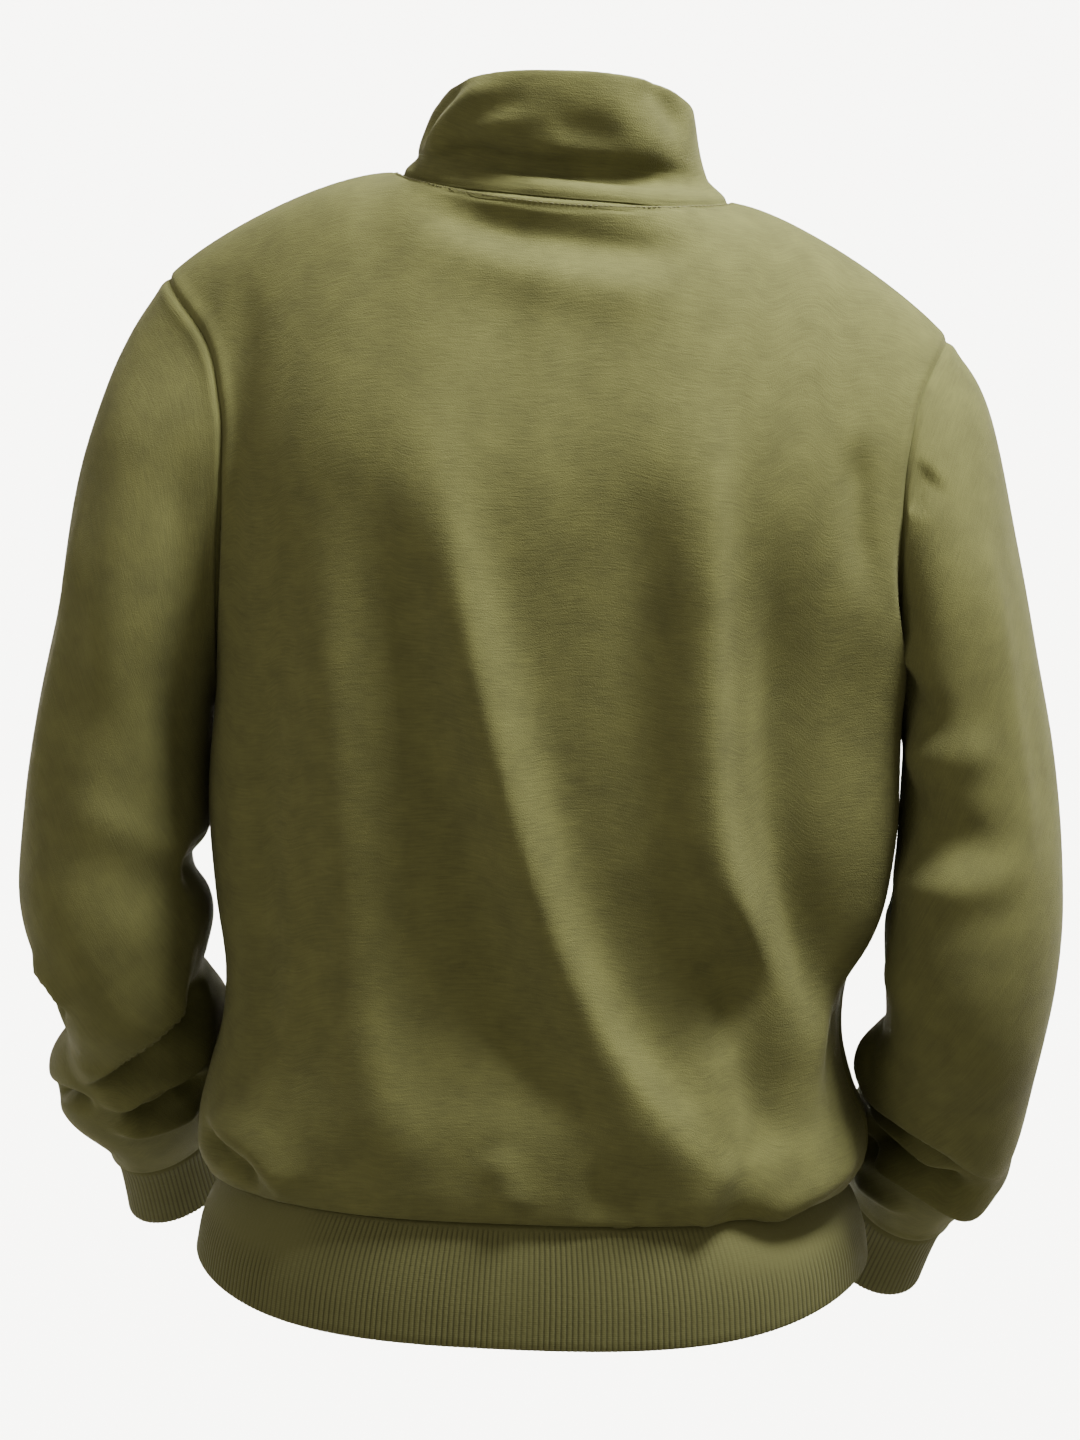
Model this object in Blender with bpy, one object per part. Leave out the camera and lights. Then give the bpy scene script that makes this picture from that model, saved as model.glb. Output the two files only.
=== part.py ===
"""Quarter zip fleece sweater, filled out as worn, with no wearer inside.

Metres, +Z up. The garment's front faces -Y and the wearer's left is +X. The origin is the middle of
the neck seam, where the wearer's neck and shoulders hold the garment up. Every cloth piece is a wall
through a grid of points: the grid is the outer face, and the inner face lies one cloth thickness in.
Pieces that are sewn together share the points and the normals of their seam, SEAM_GAP apart.
"""

from collections import namedtuple
import math

import bmesh
import bpy
from mathutils import Vector
import numpy as np

# ---------------------------------------------------------------- driving sizes, in metres
FLEECE = 0.0022
RIB = 0.0030
COLLAR_CLOTH = 0.0036
SEAM_GAP = 0.0003
COLLAR_GAP = 0.0004
CUFF_GAP = 0.0006

NECK_HALF = 0.098
NECK_BACK = 0.072
NECK_FRONT = 0.098
NECK_HEIGHT = -0.006
BACK_NECK_RISE = 0.002
FRONT_NECK_DROP = 0.066
SHOULDER_DROP = 0.074
SHOULDER_CURVE = 1.5
TIP_FORWARD = 0.010
LEAN_TOP = 0.043
LEAN_HEM = -0.028
SECTION_ROUND = 2.35
ARMHOLE_CUT = 0.45
EDGE_BLUR = 0.45
EDGE_REACH = 5

BAND_HEIGHT = 0.0755
BAND_SIDE_RISE = 0.015
CUFF_LENGTH = 0.062

ZIP_BOTTOM = -0.262
ZIP_HALF_GAP = 0.006
COIL_HALF = 0.0030
COIL_THICK = 0.0018
COIL_PROUD = 0.0010
TAPE_INNER = 0.0033
TAPE_OUTER = 0.0140
TAPE_THICK = 0.0006
TAPE_CLEAR = 0.0004
TAPE_BELOW = 0.006
TAPE_TOP_MARGIN = 0.003
STOP_LOW = 0.0008
STOP_HIGH = 0.0033

SLIDER_BELOW_RIM = 0.014
SLIDER_HALF_WIDTH = 0.0045
SLIDER_HALF_HEIGHT = 0.0060
PLATE_THICK = 0.0014
NECK_BAR_HALF = 0.0015
NECK_BAR_HEIGHT = 0.0025
BRIDGE_HALF_WIDTH = 0.0012
BRIDGE_HALF_HEIGHT = 0.0034
BRIDGE_STANDS = 0.0030
BRIDGE_WALL = 0.0010
PULL_BAR = 0.0012
PULL_HALF_WIDTH = 0.0035
PULL_LENGTH = 0.026
PULL_EYE_HALF = 0.0018
PULL_EYE_LENGTH = 0.0052
METAL_GAP = 0.0003

# ---------------------------------------------------------------- tables of sections
# rise: 0 at the hem seam, 1 at the armpit. lip: how much lower the sides hang than the middle.
# left, right, back, front: how far the cloth stands from the middle.
Torso = namedtuple("Torso", "rise height lip left right back front")
TORSO = (
    Torso(0.000, -0.6100, 0.006, 0.1800, 0.1840, 0.1180, 0.1140),
    Torso(0.025, -0.6090, -0.003, 0.1930, 0.1930, 0.1240, 0.1200),
    Torso(0.060, -0.6000, -0.002, 0.2030, 0.2030, 0.1295, 0.1280),
    Torso(0.120, -0.5790, 0.000, 0.2050, 0.2050, 0.1335, 0.1330),
    Torso(0.200, -0.5540, 0.000, 0.2010, 0.1950, 0.1330, 0.1350),
    Torso(0.300, -0.5250, 0.000, 0.1940, 0.1870, 0.1275, 0.1320),
    Torso(0.420, -0.4900, 0.000, 0.1915, 0.1870, 0.1215, 0.1280),
    Torso(0.580, -0.4420, 0.000, 0.1980, 0.2020, 0.1190, 0.1260),
    Torso(0.780, -0.3830, 0.000, 0.2030, 0.2130, 0.1215, 0.1280),
    Torso(1.000, -0.3180, 0.000, 0.2000, 0.2140, 0.1230, 0.1290),
)

# height: 0 at the armpit, 1 at the shoulder tip. left, right: the armhole seam from the middle.
Armhole = namedtuple("Armhole", "height left right")
ARMHOLE = (
    Armhole(0.00, 0.2000, 0.2140),
    Armhole(0.30, 0.1955, 0.2130),
    Armhole(0.55, 0.1930, 0.2125),
    Armhole(0.75, 0.1960, 0.2145),
    Armhole(0.90, 0.2110, 0.2210),
    Armhole(1.00, 0.2390, 0.2310),
)

# out and inn: the sleeve's outer and inner side; depth: half its front-to-back size; y: its middle.
# pitch: degrees that the arm leans forward on its way down.
Arm = namedtuple("Arm", "out_x out_z in_x in_z y depth pitch")
LEFT_ARM = (
    Arm(0.2390, -0.0700, 0.2000, -0.3260, -0.004, 0.0720, 0),
    Arm(0.2610, -0.1060, 0.2030, -0.3380, -0.004, 0.0785, 0),
    Arm(0.2760, -0.1440, 0.2045, -0.3520, -0.004, 0.0805, 0),
    Arm(0.2935, -0.2190, 0.2050, -0.3720, -0.002, 0.0785, 0),
    Arm(0.3010, -0.2780, 0.2047, -0.3950, 0.000, 0.0755, 0),
    Arm(0.3105, -0.3350, 0.2042, -0.4180, 0.003, 0.0735, 0),
    Arm(0.3180, -0.3920, 0.2057, -0.4370, 0.006, 0.0725, 0),
    Arm(0.3210, -0.4460, 0.2017, -0.4620, 0.008, 0.0725, 0),
    Arm(0.3130, -0.4820, 0.2052, -0.4840, 0.006, 0.0725, 4),
    Arm(0.2970, -0.5150, 0.2092, -0.5020, -0.002, 0.0705, 8),
    Arm(0.2910, -0.5380, 0.2042, -0.5140, -0.016, 0.0615, 14),
    Arm(0.3080, -0.5680, 0.1962, -0.5330, -0.034, 0.0605, 20),
    Arm(0.3050, -0.6010, 0.1972, -0.5620, -0.060, 0.0555, 28),
    Arm(0.2850, -0.6290, 0.2042, -0.5960, -0.090, 0.0445, 32),
    Arm(0.2810, -0.6500, 0.2152, -0.6290, -0.112, 0.0325, 32),
)
RIGHT_ARM = (
    Arm(0.2310, -0.0900, 0.2140, -0.3240, -0.004, 0.0720, 0),
    Arm(0.2510, -0.1160, 0.2160, -0.3400, -0.004, 0.0785, 0),
    Arm(0.2650, -0.1530, 0.2160, -0.3560, -0.004, 0.0805, 0),
    Arm(0.2825, -0.2200, 0.2155, -0.3760, -0.002, 0.0785, 0),
    Arm(0.2940, -0.2760, 0.2147, -0.3950, 0.000, 0.0755, 0),
    Arm(0.3055, -0.3300, 0.2137, -0.4120, 0.003, 0.0735, 0),
    Arm(0.3150, -0.3850, 0.2102, -0.4290, 0.006, 0.0725, 0),
    Arm(0.3185, -0.4300, 0.2097, -0.4480, 0.008, 0.0725, 0),
    Arm(0.3160, -0.4700, 0.2127, -0.4780, 0.006, 0.0725, 4),
    Arm(0.3100, -0.5120, 0.2137, -0.5040, -0.002, 0.0705, 8),
    Arm(0.3040, -0.5480, 0.2060, -0.5220, -0.018, 0.0645, 14),
    Arm(0.2980, -0.5820, 0.2075, -0.5440, -0.042, 0.0615, 20),
    Arm(0.2920, -0.6150, 0.1960, -0.5720, -0.070, 0.0555, 28),
    Arm(0.2710, -0.6370, 0.1882, -0.6060, -0.094, 0.0445, 32),
    Arm(0.2550, -0.6620, 0.1927, -0.6420, -0.114, 0.0325, 32),
)

# rise: 0 at the neck seam, 1 at the rim. lift: share of the height from the seam to the rim.
# shift: how far the back of the ring stands towards the wearer's left.
Collar = namedtuple("Collar", "rise half back front lift shift")
COLLAR = (
    Collar(0.00, 0.0980, 0.0720, 0.0980, 0.00, 0.0000),
    Collar(0.10, 0.0920, 0.0675, 0.0945, 0.12, 0.0015),
    Collar(0.20, 0.0870, 0.0620, 0.0915, 0.22, 0.0030),
    Collar(0.34, 0.0850, 0.0680, 0.0895, 0.35, 0.0050),
    Collar(0.60, 0.0815, 0.0695, 0.0865, 0.61, 0.0050),
    Collar(0.84, 0.0780, 0.0660, 0.0840, 0.86, 0.0030),
    Collar(1.00, 0.0750, 0.0625, 0.0825, 1.00, 0.0010),
)
RIM_BACK = 0.068
RIM_DROP = 0.030
RIM_TILT = 0.050

# A fold is a soft ridge that bends over three places: how far across the panel from its middle, measured
# along the cloth, and the height.
Fold = namedtuple("Fold", "back w0 z0 w1 z1 w2 z2 width height")
FOLDS = (
    Fold(True, 0.070, -0.190, 0.030, -0.340, -0.065, -0.560, 0.030, 0.011),
    Fold(True, -0.128, -0.220, -0.128, -0.420, -0.205, -0.560, 0.024, 0.009),
    Fold(True, 0.125, -0.260, 0.115, -0.440, 0.062, -0.600, 0.034, 0.006),
    Fold(False, -0.060, -0.300, -0.050, -0.430, 0.010, -0.570, 0.030, 0.008),
    Fold(False, 0.125, -0.230, 0.130, -0.420, 0.185, -0.560, 0.026, 0.007),
)

# drop: share of the hem band's height. spread: how far it stands out, against the hem seam.
Band = namedtuple("Band", "drop spread")
BAND = (Band(0.0, 1.0), Band(0.12, 1.03), Band(0.35, 1.08), Band(0.65, 1.12), Band(1.0, 1.14))

# along: share of the cuff's length. squeeze: its girth, against the cuff seam.
Cuff = namedtuple("Cuff", "along squeeze")
CUFF = (Cuff(0.0, 1.0), Cuff(0.12, 0.97), Cuff(0.4, 0.96), Cuff(0.7, 0.975), Cuff(1.0, 1.0))

# ---------------------------------------------------------------- rows and columns of the grids
# The neck takes NECK_SHARE of a panel's half width, and the shoulder seam the rest.
NECK_SHARE = 0.58
NECK_COLUMNS = 10
SHOULDER_COLUMNS = 7
TORSO_ROWS = (0.0, 0.025, 0.06, 0.12, 0.2, 0.3, 0.42, 0.56, 0.7, 0.85)
YOKE_ROWS = 10
ARM_ROWS = (0, 0.5, 1, 1.5, 2, 2.5, 3, 4, 5, 6, 7, 8, 8.6, 9.2, 9.8, 10.4, 11, 12, 13, 13.6, 14)
LEAVE_ARMHOLE = 3.0
COLLAR_ROWS = (0.0, 0.1, 0.2, 0.34, 0.6, 0.84, 1.0)


def smooth(t):
    t = np.clip(t, 0.0, 1.0)
    return t * t * (3 - 2 * t)


def along(table, column, at):
    """A column of a table, read smoothly at any place along the table's first column."""
    key = np.array([row[0] for row in table], float)
    return curve(key, np.array([getattr(row, column) for row in table], float), at)


def curve(key, value, at):
    """Cubic through value at key, with slopes from the neighbours."""
    slope = np.gradient(value, key)
    at = np.clip(at, key[0], key[-1])
    i = np.clip(np.searchsorted(key, at, side="right") - 1, 0, len(key) - 2)
    step = key[i + 1] - key[i]
    t = (at - key[i]) / step
    rise = (1 + 2 * t) * (1 - t) ** 2 * value[i] + t * (1 - t) ** 2 * step * slope[i]
    return rise + t * t * (3 - 2 * t) * value[i + 1] + t * t * (t - 1) * step * slope[i + 1]


def lean(points):
    """The shoulders slope down to the wearer's right, and the hem a little to the left."""
    x, y, z = points[..., 0], points[..., 1], points[..., 2]
    share = np.clip(1 - z / TORSO[0].height, 0.0, 1.0)
    return np.stack([x, y, z + x * (LEAN_HEM + (LEAN_TOP - LEAN_HEM) * share)], -1)


def neck(psi):
    """The neck seam: psi is 0 at the back of the neck and pi at the front."""
    c = np.cos(psi)
    y = np.where(c > 0, NECK_BACK, NECK_FRONT) * c
    z = NECK_HEIGHT + BACK_NECK_RISE * np.clip(c, 0, 1) - FRONT_NECK_DROP * np.clip(-c, 0, 1) ** 1.3
    return np.stack([NECK_HALF * np.sin(psi), y, z], -1)


def top_edge(s, back):
    """The panel's top edge, half the neck seam and then the shoulder seam, and the soft form under it."""
    side, sign = np.abs(s), 1.0 if back else -1.0
    tip = np.where(s > 0, ARMHOLE[-1].left, ARMHOLE[-1].right)
    shoulder = np.clip((side - NECK_SHARE) / (1 - NECK_SHARE), 0, 1)
    psi = np.clip(side / NECK_SHARE, 0, 1) * np.pi / 2
    seam = neck(psi if back else np.pi - psi)
    in_neck = side < NECK_SHARE
    top_x = np.sign(s) * np.where(in_neck, seam[..., 0], NECK_HALF + (tip - NECK_HALF) * shoulder)
    top_y = np.where(in_neck, seam[..., 1], -TIP_FORWARD * shoulder)
    shoulder_z = NECK_HEIGHT - SHOULDER_DROP * shoulder ** SHOULDER_CURVE
    top_z = np.where(in_neck, seam[..., 2], shoulder_z)

    # below its edge the cloth rounds the neck and shoulder softly
    bell = np.exp(-(side / NECK_SHARE) ** 2) * (1 - side ** 4)
    soft_y = sign * (NECK_BACK if back else NECK_FRONT) * bell - TIP_FORWARD * side ** 2
    soft_z = shoulder_z - (0 if back else FRONT_NECK_DROP * bell)
    return top_x, top_y, top_z, side * tip, soft_y, soft_z


def body(s, rise, back):
    """The body's outer face. s: -1 at the wearer's right edge, 1 at the left. rise: 0 at the hem
    seam, 1 at the armpit, 2 at the shoulder and neck seams."""
    s, rise = np.broadcast_arrays(np.asarray(s, float), np.asarray(rise, float))
    side, sign = np.abs(s), 1.0 if back else -1.0
    low, yoke = np.clip(rise, 0, 1), np.clip(rise - 1, 0, 1)
    h = np.sin(yoke * np.pi / 2)
    half_low = np.where(s > 0, along(TORSO, "left", low), along(TORSO, "right", low))
    half_high = np.where(s > 0, along(ARMHOLE, "left", h), along(ARMHOLE, "right", h))
    half = np.where(rise > 1, half_high, half_low)
    cover = side * (1 - ARMHOLE_CUT * h ** 1.6)
    ring = sign * along(TORSO, "back" if back else "front", low) * (
        1 - cover ** SECTION_ROUND) ** (1 / SECTION_ROUND)
    fall = (1 - h ** 2) ** (1 / (1 + smooth((side - 0.05) / 0.4)))
    low_z = along(TORSO, "height", low) + along(TORSO, "lip", low) * side ** 3
    soft_y, soft_z = top_edge(s, back)[4:]
    x = s * half
    y = soft_y + (ring - soft_y) * fall
    z = low_z + (soft_z - low_z) * h

    # what the sharp edge adds to the soft form dies away and blurs below the edge
    near = np.linspace(-1, 1, 241)
    edge_x, edge_y, edge_z, plain_x, plain_y, plain_z = top_edge(near, back)
    extra = np.stack([edge_x - np.sign(near) * plain_x, edge_y - plain_y, edge_z - plain_z], -1)
    blur = 0.004 + EDGE_BLUR * (1 - yoke[..., None])
    weight = np.exp(-((s[..., None] - near) / blur) ** 2)
    added = (weight @ extra) / weight.sum(-1, keepdims=True)
    exact = np.stack([np.interp(s, near, extra[:, k]) for k in range(3)], -1)
    added = np.where(yoke[..., None] > 0.999, exact, added)
    return lean(np.stack([x, y, z], -1) + added * (yoke ** EDGE_REACH * (1 - side ** 12))[..., None])


def fold_height(grid, back, folds):
    """How far the folds lift each point of a panel's grid."""
    steps = np.linalg.norm(np.diff(grid, axis=1), axis=-1)
    across = np.concatenate([np.zeros((len(grid), 1)), np.cumsum(steps, 1)], 1)
    across = across - across[:, grid.shape[1] // 2, None]
    lift = np.zeros(across.shape)
    for fold in folds:
        if fold.back != back:
            continue
        t = np.linspace(0, 1, 17)
        w = (1 - t) ** 2 * fold.w0 + 2 * t * (1 - t) * fold.w1 + t ** 2 * fold.w2
        z = (1 - t) ** 2 * fold.z0 + 2 * t * (1 - t) * fold.z1 + t ** 2 * fold.z2
        far = np.full(across.shape, np.inf)
        place = np.zeros(across.shape)
        for k in range(len(t) - 1):
            dw, dz = w[k + 1] - w[k], z[k + 1] - z[k]
            u = ((across - w[k]) * dw + (grid[..., 2] - z[k]) * dz) / (dw * dw + dz * dz)
            inside = np.clip(u, 0, 1)
            reach = np.hypot(across - w[k] - inside * dw, grid[..., 2] - z[k] - inside * dz)
            place = np.where(reach < far, (k + inside) / (len(t) - 1), place)
            far = np.minimum(reach, far)
        ends = smooth(place / 0.3) * smooth((1 - place) / 0.25)
        lift += fold.height * np.exp(-1.4 * (far / fold.width) ** 2) * ends
    return lift


def read_row(points, x):
    """The point at x on a row of points that runs across the front."""
    return np.array([np.interp(x, points[:, 0], points[:, k]) for k in range(3)])


def normals_of(grid, outward, closed=False):
    """Unit normals of a grid of points. outward is 1 or -1, whichever makes them point out."""
    if closed:
        across = np.roll(grid, -1, 1) - np.roll(grid, 1, 1)
    else:
        across = np.gradient(grid, axis=1)
    up = np.gradient(grid, axis=0)
    normal = outward * np.cross(across, up)
    return normal / np.linalg.norm(normal, axis=-1, keepdims=True)


def share_normals(mine, other):
    """Two pieces that meet get one normal along their seam, unless they fold back on each other."""
    total = mine + other
    length = np.linalg.norm(total, axis=-1, keepdims=True)
    meet = np.sum(mine * other, -1, keepdims=True) > 0.15
    even = total / np.where(length > 0, length, 1)
    return np.where(meet, even, mine), np.where(meet, even, other)


def away_from_seam(grid, normals):
    """Unit vectors along a piece's first row, in its cloth and square to the seam, into the piece."""
    along_seam = np.roll(grid[0], -1, 0) - np.roll(grid[0], 1, 0)
    along_seam[0], along_seam[-1] = grid[0][1] - grid[0][0], grid[0][-1] - grid[0][-2]
    away = np.cross(along_seam, normals[0])
    away = away / np.linalg.norm(away, axis=-1, keepdims=True)
    return away * np.sign(np.sum(away * (grid[1] - grid[0]), -1, keepdims=True))


def material(name, red, green, blue, roughness, metallic=0.0):
    made = bpy.data.materials.new(name)
    made.use_nodes = True
    shader = made.node_tree.nodes["Principled BSDF"]
    shader.inputs["Base Color"].default_value = (red, green, blue, 1)
    shader.inputs["Roughness"].default_value = roughness
    shader.inputs["Metallic"].default_value = metallic
    return made


def keep(name, mesh, finish, parent=None):
    """An object of this mesh in the sweater's collection."""
    mesh.materials.append(finish)
    made = bpy.data.objects.new(name, mesh)
    sweater.objects.link(made)
    made.parent = parent
    return made


def rim(bm, a, b, c, d):
    """The edge of a wall, in two triangles across the shorter way, so that sewn edges match."""
    if (a.co - c.co).length < (b.co - d.co).length:
        bm.faces.new((a, b, c))
        bm.faces.new((a, c, d))
    else:
        bm.faces.new((a, b, d))
        bm.faces.new((b, c, d))


def wall(name, outer, normals, thickness, finish, closed=False):
    """A closed cloth wall: the outer grid, an inner grid one thickness in, and rims between."""
    inner = outer - normals * thickness
    rows, columns = outer.shape[:2]
    bm = bmesh.new()
    layers = [[[bm.verts.new(p) for p in row] for row in layer] for layer in (outer, inner)]
    spans = columns if closed else columns - 1
    for i in range(rows - 1):
        for j in range(spans):
            k = (j + 1) % columns
            for layer in layers:
                bm.faces.new((layer[i][j], layer[i][k], layer[i + 1][k], layer[i + 1][j]))
    for i in (0, rows - 1):
        for j in range(spans):
            k = (j + 1) % columns
            rim(bm, layers[0][i][j], layers[0][i][k], layers[1][i][k], layers[1][i][j])
    if not closed:
        for i in range(rows - 1):
            for j in (0, columns - 1):
                rim(bm, layers[0][i][j], layers[0][i + 1][j], layers[1][i + 1][j], layers[1][i][j])
    bmesh.ops.recalc_face_normals(bm, faces=bm.faces)
    mesh = bpy.data.meshes.new(name)
    bm.to_mesh(mesh)
    bm.free()
    mesh.shade_smooth()
    return keep(name, mesh, finish)


# ---------------------------------------------------------------- a clean scene and its collections
for old in list(bpy.data.objects):
    bpy.data.objects.remove(old, do_unlink=True)
sweater = bpy.data.collections.new("quarter_zip_sweater")
cutters = bpy.data.collections.new("cutters")
bpy.context.scene.collection.children.link(sweater)
bpy.context.scene.collection.children.link(cutters)

fleece = material("olive_brushed_fleece", 0.168, 0.141, 0.048, 0.95)
rib = material("olive_rib_knit", 0.120, 0.100, 0.034, 0.92)
tape_weave = material("olive_woven_tape", 0.090, 0.080, 0.028, 0.85)
coil = material("olive_nylon_coil", 0.075, 0.066, 0.024, 0.45)
zinc = material("antique_brass_zinc", 0.300, 0.240, 0.130, 0.35, 1.0)

# ---------------------------------------------------------------- the grids of the cloth
shoulder_steps = np.sin(np.linspace(0, 1, SHOULDER_COLUMNS + 1) * np.pi / 2)
half_columns = np.concatenate([
    np.linspace(0, NECK_SHARE, NECK_COLUMNS // 2 + 1)[:-1],
    NECK_SHARE + (1 - NECK_SHARE) * shoulder_steps,
])
columns = np.concatenate([-half_columns[:0:-1], half_columns])
rows = np.concatenate([TORSO_ROWS, np.linspace(1, 2, YOKE_ROWS + 1)])
armpit = len(TORSO_ROWS)
neck_first = int(np.argmin(np.abs(columns + NECK_SHARE)))
neck_last = int(np.argmin(np.abs(columns - NECK_SHARE)))


def panel_grid(back):
    grid = body(columns[None, :], rows[:, None], back)
    normal = normals_of(grid, -1 if back else 1)
    return grid + normal * fold_height(grid, back, FOLDS)[..., None]


back_grid = panel_grid(True)
front_grid = panel_grid(False)
back_normals = normals_of(back_grid, -1)
front_normals = normals_of(front_grid, 1)

for edge in (0, -1):
    pair = share_normals(back_normals[:armpit + 1, edge], front_normals[:armpit + 1, edge])
    back_normals[:armpit + 1, edge], front_normals[:armpit + 1, edge] = pair
for part_of_row in (slice(0, neck_first + 1), slice(neck_last, len(columns))):
    pair = share_normals(back_normals[-1, part_of_row], front_normals[-1, part_of_row])
    back_normals[-1, part_of_row], front_normals[-1, part_of_row] = pair

# The armhole loop runs from the shoulder tip down the back, under the arm and up the front.
loop_height = np.sin(np.linspace(0, 1, YOKE_ROWS + 1) * np.pi / 2)
loop_phi = 2 * np.arccos(np.sqrt(np.clip(loop_height, 0, 1)))
phi = np.concatenate([loop_phi[::-1], 2 * np.pi - loop_phi[1:-1]])


def loop(back_values, front_values, edge):
    """The back's and the front's values around one armhole, in the order of phi."""
    return np.concatenate([back_values[:armpit - 1:-1, edge], front_values[armpit + 1:-1, edge]])


def arm_ring(table, side, t, angle):
    """One elliptical section of a sleeve, at row t of its table."""
    key = np.arange(len(table), dtype=float)
    read = {name: curve(key, np.array([getattr(row, name) for row in table], float), t)
            for name in Arm._fields}
    pitch = np.radians(read["pitch"])
    mid_x, half_x = (read["out_x"] + read["in_x"]) / 2, (read["out_x"] - read["in_x"]) / 2
    mid_z, half_z = (read["out_z"] + read["in_z"]) / 2, (read["out_z"] - read["in_z"]) / 2
    x = side * (mid_x + half_x * np.cos(angle))
    y = read["y"] + read["depth"] * np.cos(pitch) * np.sin(angle)
    z = mid_z + half_z * np.cos(angle) - read["depth"] * np.sin(pitch) * np.sin(angle)
    return np.stack([x, y, z], -1)


def sleeve_grid(table, side, edge):
    """Rings from the armhole loop to the cuff seam."""
    start = loop(back_grid, front_grid, edge)
    first = arm_ring(table, side, 0.0, phi)
    even_phi = np.linspace(0, 2 * np.pi, len(phi), endpoint=False)
    grid = []
    for t in ARM_ROWS:
        fade = smooth(1 - t / LEAVE_ARMHOLE)
        grid.append(arm_ring(table, side, t, even_phi + (phi - even_phi) * fade) + (start - first) * fade)
    return np.array(grid)


# ---------------------------------------------------------------- sleeves and cuffs
for name, table, side, edge in (("left", LEFT_ARM, 1, -1), ("right", RIGHT_ARM, -1, 0)):
    grid = sleeve_grid(table, side, edge)
    sleeve_normals = normals_of(grid, -side, closed=True)
    edge_back, edge_front = back_normals[armpit:, edge], front_normals[armpit:, edge]
    at_seam = loop(back_normals, front_normals, edge)
    sleeve_normals[0], seam_normals = share_normals(sleeve_normals[0], at_seam)
    edge_back[:] = seam_normals[:YOKE_ROWS + 1][::-1]
    edge_front[1:-1] = seam_normals[YOKE_ROWS + 1:]
    edge_front[0], edge_front[-1] = seam_normals[YOKE_ROWS], seam_normals[0]

    ring_middle = grid[-1].mean(0)
    heading = grid[-1].mean(0) - grid[-4].mean(0)
    heading = heading / np.linalg.norm(heading)
    cuff_grid = np.array([ring_middle + (grid[-1] - ring_middle) * row.squeeze
                          + heading * CUFF_LENGTH * row.along for row in CUFF])
    cuff_normals = normals_of(cuff_grid, -side, closed=True)
    sleeve_normals[-1], cuff_normals[0] = share_normals(sleeve_normals[-1], cuff_normals[0])
    grid = grid + away_from_seam(grid, sleeve_normals) * SEAM_GAP
    wall(name + "_sleeve", grid, sleeve_normals, FLEECE, fleece, closed=True)
    wall(name + "_cuff", cuff_grid + heading * CUFF_GAP, cuff_normals, RIB, rib, closed=True)

# ---------------------------------------------------------------- hem band
hem_loop = np.concatenate([back_grid[0], front_grid[0, -2:0:-1]])
hem_normals = np.concatenate([back_normals[0], front_normals[0, -2:0:-1]])
band_height = BAND_HEIGHT - BAND_SIDE_RISE * np.abs(hem_loop[:, 0] / TORSO[0].left) ** 5
band_grid = np.array([hem_loop * (row.spread, row.spread, 1)
                      - np.outer(band_height * row.drop, (0, 0, 1)) for row in BAND])
band_normals = normals_of(band_grid, 1, closed=True)
band_normals[0], hem_normals = share_normals(band_normals[0], hem_normals)
back_normals[0] = hem_normals[:len(columns)]
front_normals[0, -2:0:-1] = hem_normals[len(columns):]
front_normals[0, 0], front_normals[0, -1] = back_normals[0, 0], back_normals[0, -1]
wall("hem_band", band_grid - (0, 0, SEAM_GAP), band_normals, RIB, rib, closed=True)

# ---------------------------------------------------------------- collar
def collar_point(rise, psi):
    """The collar's outer face, between the neck seam and the rim."""
    c = np.cos(psi)
    seam = neck(psi)
    rim_z = RIM_BACK - RIM_DROP * (1 - c) ** 1.2 - RIM_TILT * NECK_HALF * np.sin(psi)
    x = along(COLLAR, "half", rise) * np.sin(psi) + along(COLLAR, "shift", rise) * (1 + c) / 2
    y = np.where(c > 0, along(COLLAR, "back", rise), along(COLLAR, "front", rise)) * c
    z = seam[..., 2] + (rim_z - seam[..., 2]) * along(COLLAR, "lift", rise)
    return lean(np.stack([x, y, z], -1))


quarter = np.linspace(0, np.pi / 2, NECK_COLUMNS // 2 + 1)
front_quarter = np.pi - quarter[::-1]
half_psi = np.concatenate([quarter, front_quarter[1:-1]])
collar_rises = np.array(COLLAR_ROWS)[:, None]
front_end = np.pi - np.arcsin(ZIP_HALF_GAP / along(COLLAR, "half", collar_rises))
right_psi = np.concatenate([np.broadcast_to(half_psi, (len(COLLAR_ROWS), len(half_psi))), front_end], 1)
collar_psi = np.concatenate([-right_psi[:, :0:-1], right_psi], 1)
collar_grid = collar_point(collar_rises, collar_psi)
for end, x in ((0, -ZIP_HALF_GAP), (-1, ZIP_HALF_GAP)):
    collar_grid[0, end] = read_row(front_grid[-1], x)
collar_normals = normals_of(collar_grid, -1)
top_back = back_normals[-1, neck_first:neck_last + 1]
top_front = front_normals[-1, neck_first:neck_last + 1]
middle = NECK_COLUMNS // 2
around_neck = np.concatenate([top_front[middle - 1:0:-1], top_back, top_front[-2:middle:-1]])
collar_normals[0, 1:-1], around_neck = share_normals(collar_normals[0, 1:-1], around_neck)
top_back[:] = around_neck[middle - 1:middle + NECK_COLUMNS]
top_front[1:middle] = around_neck[:middle - 1][::-1]
top_front[middle + 1:-1] = around_neck[middle + NECK_COLUMNS:][::-1]
top_front[0], top_front[-1] = top_back[0], top_back[-1]
collar_normals[0, 0] = collar_normals[0, -1] = top_front[middle]
collar_grid = collar_grid + away_from_seam(collar_grid, collar_normals) * COLLAR_GAP
wall("collar", collar_grid, collar_normals, COLLAR_CLOTH, fleece)

# ---------------------------------------------------------------- back and front panels
wall("back_panel", back_grid + (0, SEAM_GAP / 2, 0), back_normals, FLEECE, fleece)
front_panel = wall("front_panel", front_grid - (0, SEAM_GAP / 2, 0), front_normals, FLEECE, fleece)


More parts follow.
